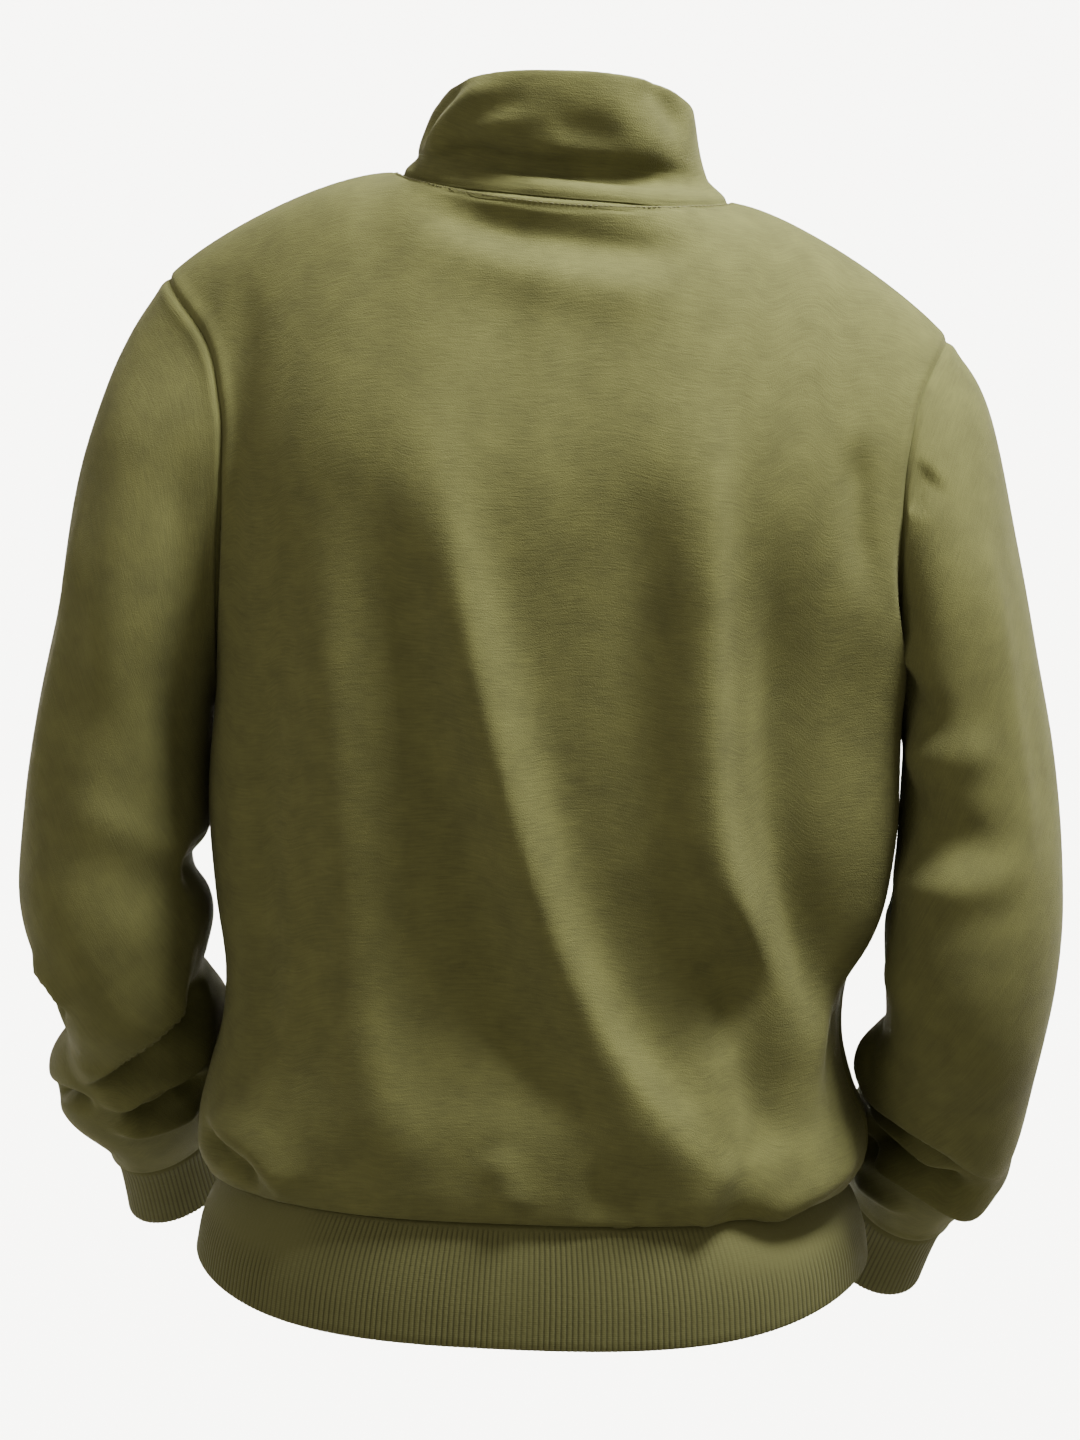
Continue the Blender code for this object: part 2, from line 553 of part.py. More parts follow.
def block(name, low, high, collection, finish=None, parent=None):
    """A box between two corners, in its own object's space."""
    bm = bmesh.new()
    bmesh.ops.create_cube(bm, size=1.0)
    size = Vector(high) - Vector(low)
    bmesh.ops.scale(bm, vec=size, verts=bm.verts)
    bmesh.ops.translate(bm, vec=Vector(low) + size / 2, verts=bm.verts)
    mesh = bpy.data.meshes.new(name)
    bm.to_mesh(mesh)
    bm.free()
    if finish:
        mesh.materials.append(finish)
    made = bpy.data.objects.new(name, mesh)
    collection.objects.link(made)
    made.parent = parent
    return made


def combine(target, operation, tool):
    """Adds a tool to an object, or cuts it away. The tool stays as a cutter."""
    tool.hide_render = True
    tool.display_type = "WIRE"
    step = target.modifiers.new(tool.name, "BOOLEAN")
    step.operation = operation
    step.object = tool
    step.solver = "EXACT"


# The slit's cutter passes through the front only, from the slit's lower end to above the neck seam.
slit = block("zip_slit", (-ZIP_HALF_GAP, -TORSO[-1].front - NECK_BACK, ZIP_BOTTOM),
             (ZIP_HALF_GAP, -NECK_BACK / 2, NECK_BACK / 2), cutters)
combine(front_panel, "DIFFERENCE", slit)

# ---------------------------------------------------------------- zip tapes, coil and bottom stop
# They lie under the edges of the slit and of the collar, on the inner face of that cloth.
centre = len(columns) // 2
beside_zip = [1, 0, -1, -2]
cloth_rows = [(points, normals, FLEECE) for points, normals in zip(front_grid[:-1], front_normals[:-1])
              if points[centre, 2] > ZIP_BOTTOM - 0.08]
cloth_rows += [(points[beside_zip], normals[beside_zip], COLLAR_CLOTH)
               for points, normals in zip(collar_grid, collar_normals)]
row_heights = np.array([read_row(points, 0.0)[2] for points, normals, cloth in cloth_rows])


def under_cloth(x, z):
    """The place on the cloth's inner face at x across and height z by the zip, and its facing."""
    places, facings = [], []
    for points, normals, cloth in cloth_rows:
        facing = read_row(np.column_stack([points[:, 0], normals[:, 1:]]), x) * (0, 1, 1)
        facing = facing / np.linalg.norm(facing)
        facings.append(facing)
        places.append(read_row(points, x) - facing * cloth)
    place = [np.interp(z, row_heights, np.array(places)[:, k]) for k in range(3)]
    facing = np.array([np.interp(z, row_heights, np.array(facings)[:, k]) for k in range(3)])
    return np.array(place), facing / np.linalg.norm(facing)


def zip_strip(name, across, low, high, proud, thickness, finish):
    """A strip of the zip: where it lies across, its two ends, and how far it stands out from the tape."""
    heights = [low] + [z for z in row_heights if low + 0.002 < z < high - 0.002] + [high]
    found = [[under_cloth(x, z) for x in across] for z in heights]
    facing = np.array([[way for place, way in row] for row in found])
    grid = np.array([[place for place, way in row] for row in found]) - facing * (TAPE_CLEAR - proud)
    return wall(name, grid, facing, thickness, finish)


rim_z = row_heights[-1]
slider_z = rim_z - SLIDER_BELOW_RIM
tape_middle = (TAPE_INNER + TAPE_OUTER) / 2
tape_ends = (ZIP_BOTTOM - TAPE_BELOW, rim_z - TAPE_TOP_MARGIN)
zip_strip("left_zip_tape", (TAPE_INNER, tape_middle, TAPE_OUTER), *tape_ends, 0, TAPE_THICK, tape_weave)
zip_strip("right_zip_tape", (-TAPE_OUTER, -tape_middle, -TAPE_INNER), *tape_ends, 0, TAPE_THICK, tape_weave)
coil_low = ZIP_BOTTOM + STOP_HIGH + METAL_GAP
zip_strip("zip_coil", (-COIL_HALF, 0.0, COIL_HALF), coil_low, slider_z, COIL_PROUD, COIL_THICK, coil)
zip_strip("zip_bottom_stop", (-COIL_HALF, 0.0, COIL_HALF), ZIP_BOTTOM + STOP_LOW, ZIP_BOTTOM + STOP_HIGH,
          COIL_PROUD, COIL_THICK, zinc)

# ---------------------------------------------------------------- slider and pull tab
# In the slider's own space z runs up the zip and y into the garment, from the middle of the coil.
lower_place, facing = under_cloth(0.0, slider_z - SLIDER_HALF_HEIGHT)
upper_place, facing = under_cloth(0.0, slider_z)
tilt = math.atan2(-(upper_place - lower_place)[1], (upper_place - lower_place)[2])
coil_middle = upper_place - facing * (TAPE_CLEAR - COIL_PROUD + COIL_THICK / 2)
slider_place = bpy.data.objects.new("slider_place", None)
slider_place.location = coil_middle
slider_place.rotation_euler.x = tilt
sweater.objects.link(slider_place)

plate_inner = COIL_THICK / 2 + METAL_GAP
plate_outer = plate_inner + PLATE_THICK
slider = block("zip_slider", (-SLIDER_HALF_WIDTH, -plate_outer, -SLIDER_HALF_HEIGHT),
               (SLIDER_HALF_WIDTH, -plate_inner, SLIDER_HALF_HEIGHT), sweater, zinc, slider_place)
back_plate = block("slider_back_plate", (-SLIDER_HALF_WIDTH, plate_inner, -SLIDER_HALF_HEIGHT),
                   (SLIDER_HALF_WIDTH, plate_outer, SLIDER_HALF_HEIGHT), cutters, None, slider_place)
neck_bar = block("slider_neck_bar", (-NECK_BAR_HALF, -plate_outer, SLIDER_HALF_HEIGHT - NECK_BAR_HEIGHT),
                 (NECK_BAR_HALF, plate_outer, SLIDER_HALF_HEIGHT - METAL_GAP), cutters, None, slider_place)
bridge = block("slider_bridge", (-BRIDGE_HALF_WIDTH, -plate_outer - BRIDGE_STANDS, -BRIDGE_HALF_HEIGHT),
               (BRIDGE_HALF_WIDTH, -plate_inner - METAL_GAP, BRIDGE_HALF_HEIGHT), cutters, None, slider_place)
bridge_hole = block("slider_bridge_hole",
                    (-SLIDER_HALF_WIDTH, -plate_outer - BRIDGE_STANDS + BRIDGE_WALL,
                     -BRIDGE_HALF_HEIGHT + BRIDGE_WALL),
                    (SLIDER_HALF_WIDTH, -plate_outer, BRIDGE_HALF_HEIGHT - BRIDGE_WALL),
                    cutters, None, slider_place)
combine(slider, "UNION", back_plate)
combine(slider, "UNION", neck_bar)
combine(slider, "UNION", bridge)
combine(slider, "DIFFERENCE", bridge_hole)

pull_axis = bpy.data.objects.new("pull_axis", None)
pull_axis.parent = slider_place
pull_axis.location = (0, -plate_outer - (BRIDGE_STANDS - BRIDGE_WALL) / 2,
                      -BRIDGE_HALF_HEIGHT + BRIDGE_WALL + METAL_GAP + PULL_BAR / 2)
sweater.objects.link(pull_axis)
pull_tab = block("pull_tab", (-PULL_HALF_WIDTH, -PULL_BAR / 2, PULL_BAR / 2 - PULL_LENGTH),
                 (PULL_HALF_WIDTH, PULL_BAR / 2, PULL_BAR / 2), sweater, zinc, pull_axis)
pull_eye = block("pull_eye", (-PULL_EYE_HALF, -PULL_BAR, -PULL_BAR / 2 - PULL_EYE_LENGTH),
                 (PULL_EYE_HALF, PULL_BAR, -PULL_BAR / 2), cutters, None, pull_axis)
combine(pull_tab, "DIFFERENCE", pull_eye)
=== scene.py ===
"""The looks of the quarter zip fleece sweater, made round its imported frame.

Metres, but creases are in millimetres. +Z is up, the garment's front faces -Y and the wearer's left is
+X. The sections follow the order of sewing: back, front, sleeves, cuffs, hem band, collar and zip.
"""

from collections import namedtuple
import math

import bmesh
import bpy
from mathutils import Matrix, Vector
from mathutils.kdtree import KDTree
import numpy as np


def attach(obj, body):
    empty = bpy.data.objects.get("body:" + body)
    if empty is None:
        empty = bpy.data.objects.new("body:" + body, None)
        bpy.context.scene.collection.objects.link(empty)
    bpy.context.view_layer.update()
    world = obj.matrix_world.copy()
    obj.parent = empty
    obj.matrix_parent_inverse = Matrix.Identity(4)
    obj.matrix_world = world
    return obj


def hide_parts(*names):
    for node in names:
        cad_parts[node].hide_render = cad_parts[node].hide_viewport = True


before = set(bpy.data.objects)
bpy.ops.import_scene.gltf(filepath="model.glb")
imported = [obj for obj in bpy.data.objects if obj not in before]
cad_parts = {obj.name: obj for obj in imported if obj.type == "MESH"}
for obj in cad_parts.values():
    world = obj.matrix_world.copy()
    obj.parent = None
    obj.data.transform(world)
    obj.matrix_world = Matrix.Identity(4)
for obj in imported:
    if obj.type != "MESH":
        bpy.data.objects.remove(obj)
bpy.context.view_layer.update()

bpy.ops.object.select_all(action="DESELECT")

# ================================================================ back panel
# One piece of brushed fleece knit, 350 g a square metre, cut to the neck, shoulder and armhole seams and
# to the hem band. It is fuller than the band below it, so it hangs in long folds and blouses over it.
FLEECE = 0.0022
NECK_HALF = 0.098
NECK_BACK = 0.072
NECK_FRONT = 0.098
NECK_HEIGHT = -0.006
BACK_NECK_RISE = 0.002
FRONT_NECK_DROP = 0.066
SHOULDER_DROP = 0.074
SHOULDER_CURVE = 1.5
TIP_FORWARD = 0.010
LEAN_TOP = 0.043
LEAN_HEM = -0.028
SECTION_ROUND = 2.35
ARMHOLE_CUT = 0.45
EDGE_BLUR = 0.45
EDGE_REACH = 5
NECK_SHARE = 0.58
# FLEECE is the cloth's thickness. ARMHOLE_CUT: how much shallower the body gets between the armholes.
# EDGE_BLUR and EDGE_REACH: how a sharp top edge fades into the soft form below it. NECK_SHARE: the neck
# seam's part of the top edge, from its middle to the shoulder tip.

# rise: 0 at the hem seam, 1 at the armpit. lip: how much lower the sides hang than the middle.
# left, right, back, front: how far the cloth stands from the middle.
Torso = namedtuple("Torso", "rise height lip left right back front")
TORSO = (
    Torso(0.000, -0.6100, 0.006, 0.1800, 0.1840, 0.1270, 0.1220),
    Torso(0.025, -0.6090, -0.003, 0.1930, 0.1930, 0.1300, 0.1260),
    Torso(0.060, -0.6000, -0.002, 0.2030, 0.2030, 0.1325, 0.1295),
    Torso(0.120, -0.5790, 0.000, 0.2050, 0.2050, 0.1335, 0.1330),
    Torso(0.200, -0.5540, 0.000, 0.2010, 0.1950, 0.1330, 0.1350),
    Torso(0.300, -0.5250, 0.000, 0.1940, 0.1870, 0.1275, 0.1320),
    Torso(0.420, -0.4900, 0.000, 0.1915, 0.1870, 0.1215, 0.1280),
    Torso(0.580, -0.4420, 0.000, 0.1980, 0.2020, 0.1190, 0.1260),
    Torso(0.780, -0.3830, 0.000, 0.2030, 0.2130, 0.1215, 0.1280),
    Torso(1.000, -0.3180, 0.000, 0.2000, 0.2140, 0.1230, 0.1290),
)

# height: 0 at the armpit, 1 at the shoulder tip. left, right: the armhole seam from the middle.
Armhole = namedtuple("Armhole", "height left right")
ARMHOLE = (
    Armhole(0.00, 0.2000, 0.2140),
    Armhole(0.30, 0.1955, 0.2130),
    Armhole(0.55, 0.1930, 0.2125),
    Armhole(0.75, 0.1960, 0.2145),
    Armhole(0.90, 0.2110, 0.2210),
    Armhole(1.00, 0.2390, 0.2310),
)

PER_METRE = 1000
Crease = namedtuple("Crease", "height right left path sharp over")


def crease(height, right, left, *path, sharp=2.0, over=0.0):
    """A ridge in the cloth, or a trough if its height is less than 0, in millimetres.

    right, left: how wide it is on either hand of one who walks along it on the outside. path: points that
    it passes, which are brought onto the cloth. sharp: 2 is a soft roll, 1 a sharp edge. over: how far its
    crest leans to the right."""
    return Crease(height / PER_METRE, right / PER_METRE, left / PER_METRE, np.array(path) / PER_METRE, sharp,
                  over / PER_METRE)


BACK_CREASES = (
    # the long fold from below the left shoulder blade to the right side of the hem
    crease(19, 30, 16.5, (72, 105, -100), (55, 117, -170), (35, 122, -240), (16, 125, -310),
           (-4, 125, -375), (-24, 124, -430), (-50, 121, -485), (-76, 119, -530), (-110, 113, -570),
           (-150, 95, -590), sharp=1.9, over=2),
    crease(-6, 22, 22, (78, 108, -170), (66, 123, -236), (54, 130, -294), (34, 128, -383), (8, 126, -460),
           (-26, 129, -525), (-50, 131, -570)),
    # the fold down from the right armhole
    crease(18, 30, 12.5, (-98, 98, -100), (-102, 105, -190), (-105, 111, -270), (-112, 108, -361),
           (-130, 94, -425), (-152, 70, -490), sharp=1.9, over=2),
    crease(-4, 22, 20, (-66, 110, -140), (-70, 115, -220), (-72, 118, -300), (-78, 115, -400)),
    # the hollow beyond it, and the swell of the right side
    crease(-9, 14, 24, (-138, 90, -170), (-140, 95, -270), (-147, 95, -360), (-166, 80, -440),
           (-185, 60, -500)),
    crease(13, 32, 18, (-194, 65, -160), (-199, 52, -250), (-200, 46, -350), (-196, 44, -430),
           (-188, 46, -500)),
    crease(-10, 18, 22, (-110, 109, -395), (-122, 104, -445), (-134, 99, -490), (-143, 96, -525),
           (-151, 96, -556), (-158, 94, -585)),
    crease(11, 42, 34, (-122, 105, -478), (-145, 97, -488), (-165, 80, -498), (-180, 62, -506),
           (-192, 40, -512)),
    # the shoulder blades' swell, and the fall below it
    crease(9, 72, 72, (200, 60, -160), (120, 92, -160), (0, 105, -158), (-120, 92, -155), (-210, 60, -155)),
    # soft folds on the left half
    crease(10, 26, 22, (117, 104, -170), (116, 108, -274), (101, 116, -426), (85, 125, -516),
           (50, 124, -608)),
    crease(3, 12, 20, (143, 96, -256), (140, 100, -366), (139, 94, -459), (139, 104, -560)),
    crease(-4, 14, 18, (160, 80, -280), (163, 84, -380), (160, 85, -480), (160, 90, -540)),
    # below the collar: a hollow, and the roll under it
    crease(-6.5, 13, 11, (88, 53, -13), (45, 68, -21), (0, 74, -27), (-45, 72, -32), (-92, 60, -36)),
    crease(3, 16, 12, (88, 64, -33), (17, 84, -47), (-42, 84, -56), (-92, 74, -56)),
    # by the armholes
    crease(-3.5, 14, 16, (190, 45, -50), (183, 56, -90), (181, 64, -135), (183, 70, -180), (184, 72, -240),
           (187, 70, -330)),
    crease(-5, 12, 9, (-184, 72, -130), (-186, 76, -165), (-188, 77, -190), (-192, 74, -240)),
    # where it blouses over the hem band: the left side's tuck, and the puckers on the right
    crease(8, 10, 18, (196, 40, -575), (186, 66, -577), (168, 87, -580), (155, 98, -584), (144, 103, -592),
           (136, 105, -602), (130, 108, -612), sharp=1.7, over=2),
    crease(-11, 9, 9, (196, 45, -586), (186, 64, -589), (174, 79, -594), (162, 88, -600), (150, 96, -608),
           sharp=1.8),
    crease(3.5, 8, 9, (-134, 109, -560), (-124, 114, -580), (-115, 111, -600), (-112, 108, -612),
           sharp=1.9),
    crease(-3, 11, 10, (-152, 100, -548), (-142, 104, -572), (-134, 106, -596), (-130, 104, -625)),
    crease(6, 12, 9, (-204, 20, -572), (-192, 52, -582), (-176, 76, -592), (-158, 92, -602),
           (-142, 100, -610), sharp=1.8, over=-3),
    crease(-4, 14, 18, (-40, 131, -585), (-62, 131, -589), (-92, 124, -592)),
    crease(3, 12, 12, (10, 133, -560), (0, 132, -583), (-4, 130, -605)),
)

# Even spacing of the mesh, and the finer spacing by a seam, with how far that reaches. Sewn pieces keep a
# SEAM_GAP between them. The cloth dips into a seam and puffs up beside it.
CELL = 0.0035
SEAM_CELL = 0.0010
SEAM_REACH = 0.007
SEAM_GAP = 0.0001
SEAM_DIP = 0.0016
SEAM_DIP_WIDE = 0.0026
SEAM_PUFF = 0.0006
SEAM_PUFF_AT = 0.0065
SEAM_PUFF_WIDE = 0.004
# Creases and slack fade out this far from a seam.
STILL = 0.012
# A crease's path is read at PATH_STEPS places from one point to the next. The crease ends CREASE_REACH
# times its width away, and fades over this share of its path at each end.
PATH_STEPS = 8
CREASE_REACH = 2.6
CREASE_FADE = 0.3
# The cloth's slack: how high it stands on the panels, how long its waves are, and how many there are.
SLACK = 0.0009
SLACK_WAVE = 0.16
SLACK_WAVES = 9
# Faces round a folded edge.
FOLD_STEPS = 5


def smooth(t):
    t = np.clip(t, 0.0, 1.0)
    return t * t * (3 - 2 * t)


def curve(key, value, at):
    """Cubic through value at key, with slopes from the neighbours."""
    slope = np.gradient(value, key)
    at = np.clip(at, key[0], key[-1])
    i = np.clip(np.searchsorted(key, at, side="right") - 1, 0, len(key) - 2)
    step = key[i + 1] - key[i]
    t = (at - key[i]) / step
    rise = (1 + 2 * t) * (1 - t) ** 2 * value[i] + t * (1 - t) ** 2 * step * slope[i]
    return rise + t * t * (3 - 2 * t) * value[i + 1] + t * t * (t - 1) * step * slope[i + 1]


def along(table, column, at):
    """A column of a table, read smoothly at any place along the table's first column."""
    key = np.array([row[0] for row in table], float)
    return curve(key, np.array([getattr(row, column) for row in table], float), at)


def lean(points):
    """The shoulders slope down to the wearer's right, and the hem a little to the left."""
    x, y, z = points[..., 0], points[..., 1], points[..., 2]
    share = np.clip(1 - z / TORSO[0].height, 0.0, 1.0)
    return np.stack([x, y, z + x * (LEAN_HEM + (LEAN_TOP - LEAN_HEM) * share)], -1)


def neck(psi):
    """The neck seam: psi is 0 at the back of the neck and pi at the front."""
    c = np.cos(psi)
    y = np.where(c > 0, NECK_BACK, NECK_FRONT) * c
    z = NECK_HEIGHT + BACK_NECK_RISE * np.clip(c, 0, 1) - FRONT_NECK_DROP * np.clip(-c, 0, 1) ** 1.3
    return np.stack([NECK_HALF * np.sin(psi), y, z], -1)


def top_edge(s, back):
    """The panel's top edge, half the neck seam and then the shoulder seam, and the soft form under it."""
    side, sign = np.abs(s), 1.0 if back else -1.0
    tip = np.where(s > 0, ARMHOLE[-1].left, ARMHOLE[-1].right)
    shoulder = np.clip((side - NECK_SHARE) / (1 - NECK_SHARE), 0, 1)
    psi = np.clip(side / NECK_SHARE, 0, 1) * np.pi / 2
    seam = neck(psi if back else np.pi - psi)
    in_neck = side < NECK_SHARE
    top_x = np.sign(s) * np.where(in_neck, seam[..., 0], NECK_HALF + (tip - NECK_HALF) * shoulder)
    top_y = np.where(in_neck, seam[..., 1], -TIP_FORWARD * shoulder)
    shoulder_z = NECK_HEIGHT - SHOULDER_DROP * shoulder ** SHOULDER_CURVE
    top_z = np.where(in_neck, seam[..., 2], shoulder_z)
    bell = np.exp(-(side / NECK_SHARE) ** 2) * (1 - side ** 4)
    soft_y = sign * (NECK_BACK if back else NECK_FRONT) * bell - TIP_FORWARD * side ** 2
    soft_z = shoulder_z - (0 if back else FRONT_NECK_DROP * bell)
    return top_x, top_y, top_z, side * tip, soft_y, soft_z


def body(s, rise, back):
    """The body's outer face. s: -1 at the wearer's right edge, 1 at the left. rise: 0 at the hem
    seam, 1 at the armpit, 2 at the shoulder and neck seams."""
    s, rise = np.broadcast_arrays(np.asarray(s, float), np.asarray(rise, float))
    side, sign = np.abs(s), 1.0 if back else -1.0
    low, yoke = np.clip(rise, 0, 1), np.clip(rise - 1, 0, 1)
    h = np.sin(yoke * np.pi / 2)
    half_low = np.where(s > 0, along(TORSO, "left", low), along(TORSO, "right", low))
    half_high = np.where(s > 0, along(ARMHOLE, "left", h), along(ARMHOLE, "right", h))
    half = np.where(rise > 1, half_high, half_low)
    cover = side * (1 - ARMHOLE_CUT * h ** 1.6)
    ring = sign * along(TORSO, "back" if back else "front", low) * (
        1 - cover ** SECTION_ROUND) ** (1 / SECTION_ROUND)
    fall = (1 - h ** 2) ** (1 / (1 + smooth((side - 0.05) / 0.4)))
    low_z = along(TORSO, "height", low) + along(TORSO, "lip", low) * side ** 3
    soft_y, soft_z = top_edge(s, back)[4:]
    x = s * half
    y = soft_y + (ring - soft_y) * fall
    z = low_z + (soft_z - low_z) * h

    # what the sharp edge adds to the soft form dies away and blurs below the edge
    near = np.linspace(-1, 1, 241)
    edge_x, edge_y, edge_z, plain_x, plain_y, plain_z = top_edge(near, back)
    extra = np.stack([edge_x - np.sign(near) * plain_x, edge_y - plain_y, edge_z - plain_z], -1)
    blur = 0.004 + EDGE_BLUR * (1 - yoke[..., None])
    weight = np.exp(-((s[..., None] - near) / blur) ** 2)
    added = (weight @ extra) / weight.sum(-1, keepdims=True)
    exact = np.stack([np.interp(s, near, extra[:, k]) for k in range(3)], -1)
    added = np.where(yoke[..., None] > 0.999, exact, added)
    return lean(np.stack([x, y, z], -1) + added * (yoke ** EDGE_REACH * (1 - side ** 12))[..., None])


def steps(length, fine_start=True, fine_end=True):
    """Places from 0 to 1 along a length, CELL apart, and SEAM_CELL apart near the ends that are sewn."""
    near = np.arange(0, SEAM_REACH, SEAM_CELL)
    places = np.linspace(SEAM_REACH, length - SEAM_REACH, max(2, round((length - 2 * SEAM_REACH) / CELL)))
    start = near if fine_start else np.linspace(0, SEAM_REACH, 3)[:-1]
    end = near if fine_end else np.linspace(0, SEAM_REACH, 3)[:-1]
    return np.concatenate([start, places, (length - end)[::-1]]) / length


def run_along(points):
    """The distance along a line of points, at each of them."""
    return np.concatenate([[0], np.cumsum(np.linalg.norm(np.diff(points, axis=0), axis=1))])


def read_even(keys, points, places):
    """The keys at these places, from 0 to 1, along the line of points."""
    run = run_along(points)
    return np.interp(places * run[-1], run, keys)


def normals_of(grid, outward, closed=False):
    """Unit normals of a grid of points. outward is 1 or -1, whichever makes them point out."""
    across = np.roll(grid, -1, 1) - np.roll(grid, 1, 1) if closed else np.gradient(grid, axis=1)
    normal = outward * np.cross(across, np.gradient(grid, axis=0))
    return normal / np.maximum(np.linalg.norm(normal, axis=-1, keepdims=True), 1e-12)


def shared(mine, other):
    """The normal of two sewn edges, halfway between their own."""
    total = mine + other
    return total / np.maximum(np.linalg.norm(total, axis=-1, keepdims=True), 1e-9)


def arc_lengths(grid):
    """Distances over the cloth at each point of a grid: across from its first column, along from row 0."""
    across = np.linalg.norm(np.diff(grid, axis=1), axis=-1)
    across = np.concatenate([np.zeros((len(grid), 1)), np.cumsum(across, 1)], 1)
    up = np.linalg.norm(np.diff(grid, axis=0), axis=-1)
    up = np.concatenate([np.zeros((1, grid.shape[1])), np.cumsum(up, 0)], 0)
    return across, up


def crease_lift(grid, normals, creases):
    """How far the creases move each point of the cloth, along its normal and sideways."""
    points, facing = grid.reshape(-1, 3), normals.reshape(-1, 3)
    tree = KDTree(len(points))
    for k, point in enumerate(points):
        tree.insert(point, k)
    tree.balance()
    moved = np.zeros(points.shape)
    for crease in creases:
        key = np.arange(len(crease.path), dtype=float)
        at = np.linspace(0, key[-1], PATH_STEPS * (len(key) - 1) + 1)
        line = np.stack([curve(key, crease.path[:, k], at) for k in range(3)], 1)
        found = [tree.find(point)[1] for point in line]
        out = facing[found]
        line = line + out * np.sum((points[found] - line) * out, 1, keepdims=True)
        reach = CREASE_REACH * max(crease.right, crease.left) + abs(crease.over)
        low, high = line.min(0) - reach, line.max(0) + reach
        near = np.where(((points > low) & (points < high)).all(1))[0]
        place = np.zeros(len(near))
        far = np.full(len(near), np.inf)
        beside = np.zeros(len(near))
        side_way = np.zeros((len(near), 3))
        for k in range(len(line) - 1):
            run = line[k + 1] - line[k]
            rel = points[near] - line[k]
            u = np.clip(rel @ run / (run @ run), 0, 1)
            away = rel - u[:, None] * run
            distance = np.linalg.norm(away, axis=1)
            to_right = np.cross(run, facing[near])
            to_right /= np.maximum(np.linalg.norm(to_right, axis=1, keepdims=True), 1e-12)
            closer = distance < far
            far = np.where(closer, distance, far)
            place = np.where(closer, (k + u) / (len(line) - 1), place)
            beside = np.where(closer, np.sum(away * to_right, 1), beside)
            side_way = np.where(closer[:, None], to_right, side_way)
        wide = np.where(beside > 0, crease.right, crease.left)
        shape = np.exp(-(far / wide) ** crease.sharp)
        shape *= smooth(place / CREASE_FADE) * smooth((1 - place) / CREASE_FADE)
        moved[near] += facing[near] * (crease.height * shape)[:, None]
        moved[near] += side_way * (crease.over * shape)[:, None]
    return moved.reshape(grid.shape)


def seam_dip(distance):
    """How the cloth dips into a seam at this distance from it, and puffs up beside it."""
    dip = -SEAM_DIP * np.exp(-(distance / SEAM_DIP_WIDE) ** 2)
    return dip + SEAM_PUFF * np.exp(-((distance - SEAM_PUFF_AT) / SEAM_PUFF_WIDE) ** 2)


def slack(grid, normals, height, wave, seed):
    """The cloth's own unevenness: a few long waves that cross each other."""
    draw = np.random.default_rng(seed)
    lift = np.zeros(grid.shape[:2])
    for _ in range(SLACK_WAVES):
        way = draw.normal(size=3)
        way /= np.linalg.norm(way)
        length = wave * draw.uniform(0.6, 1.6)
        lift += np.sin(grid @ way * 2 * np.pi / length + draw.uniform(0, 2 * np.pi))
    return normals * (lift * height / 3)[..., None]


def from_edges(across, up, start=True, end=True, low=True, high=True):
    """The distance of each point of a grid from its nearest sewn edge."""
    nearest = np.full(across.shape, 1.0)
    if start:
        nearest = np.minimum(nearest, across)
    if end:
        nearest = np.minimum(nearest, across[:, -1:] - across)
    if low:
        nearest = np.minimum(nearest, up)
    if high:
        nearest = np.minimum(nearest, up[-1:] - up)
    return nearest


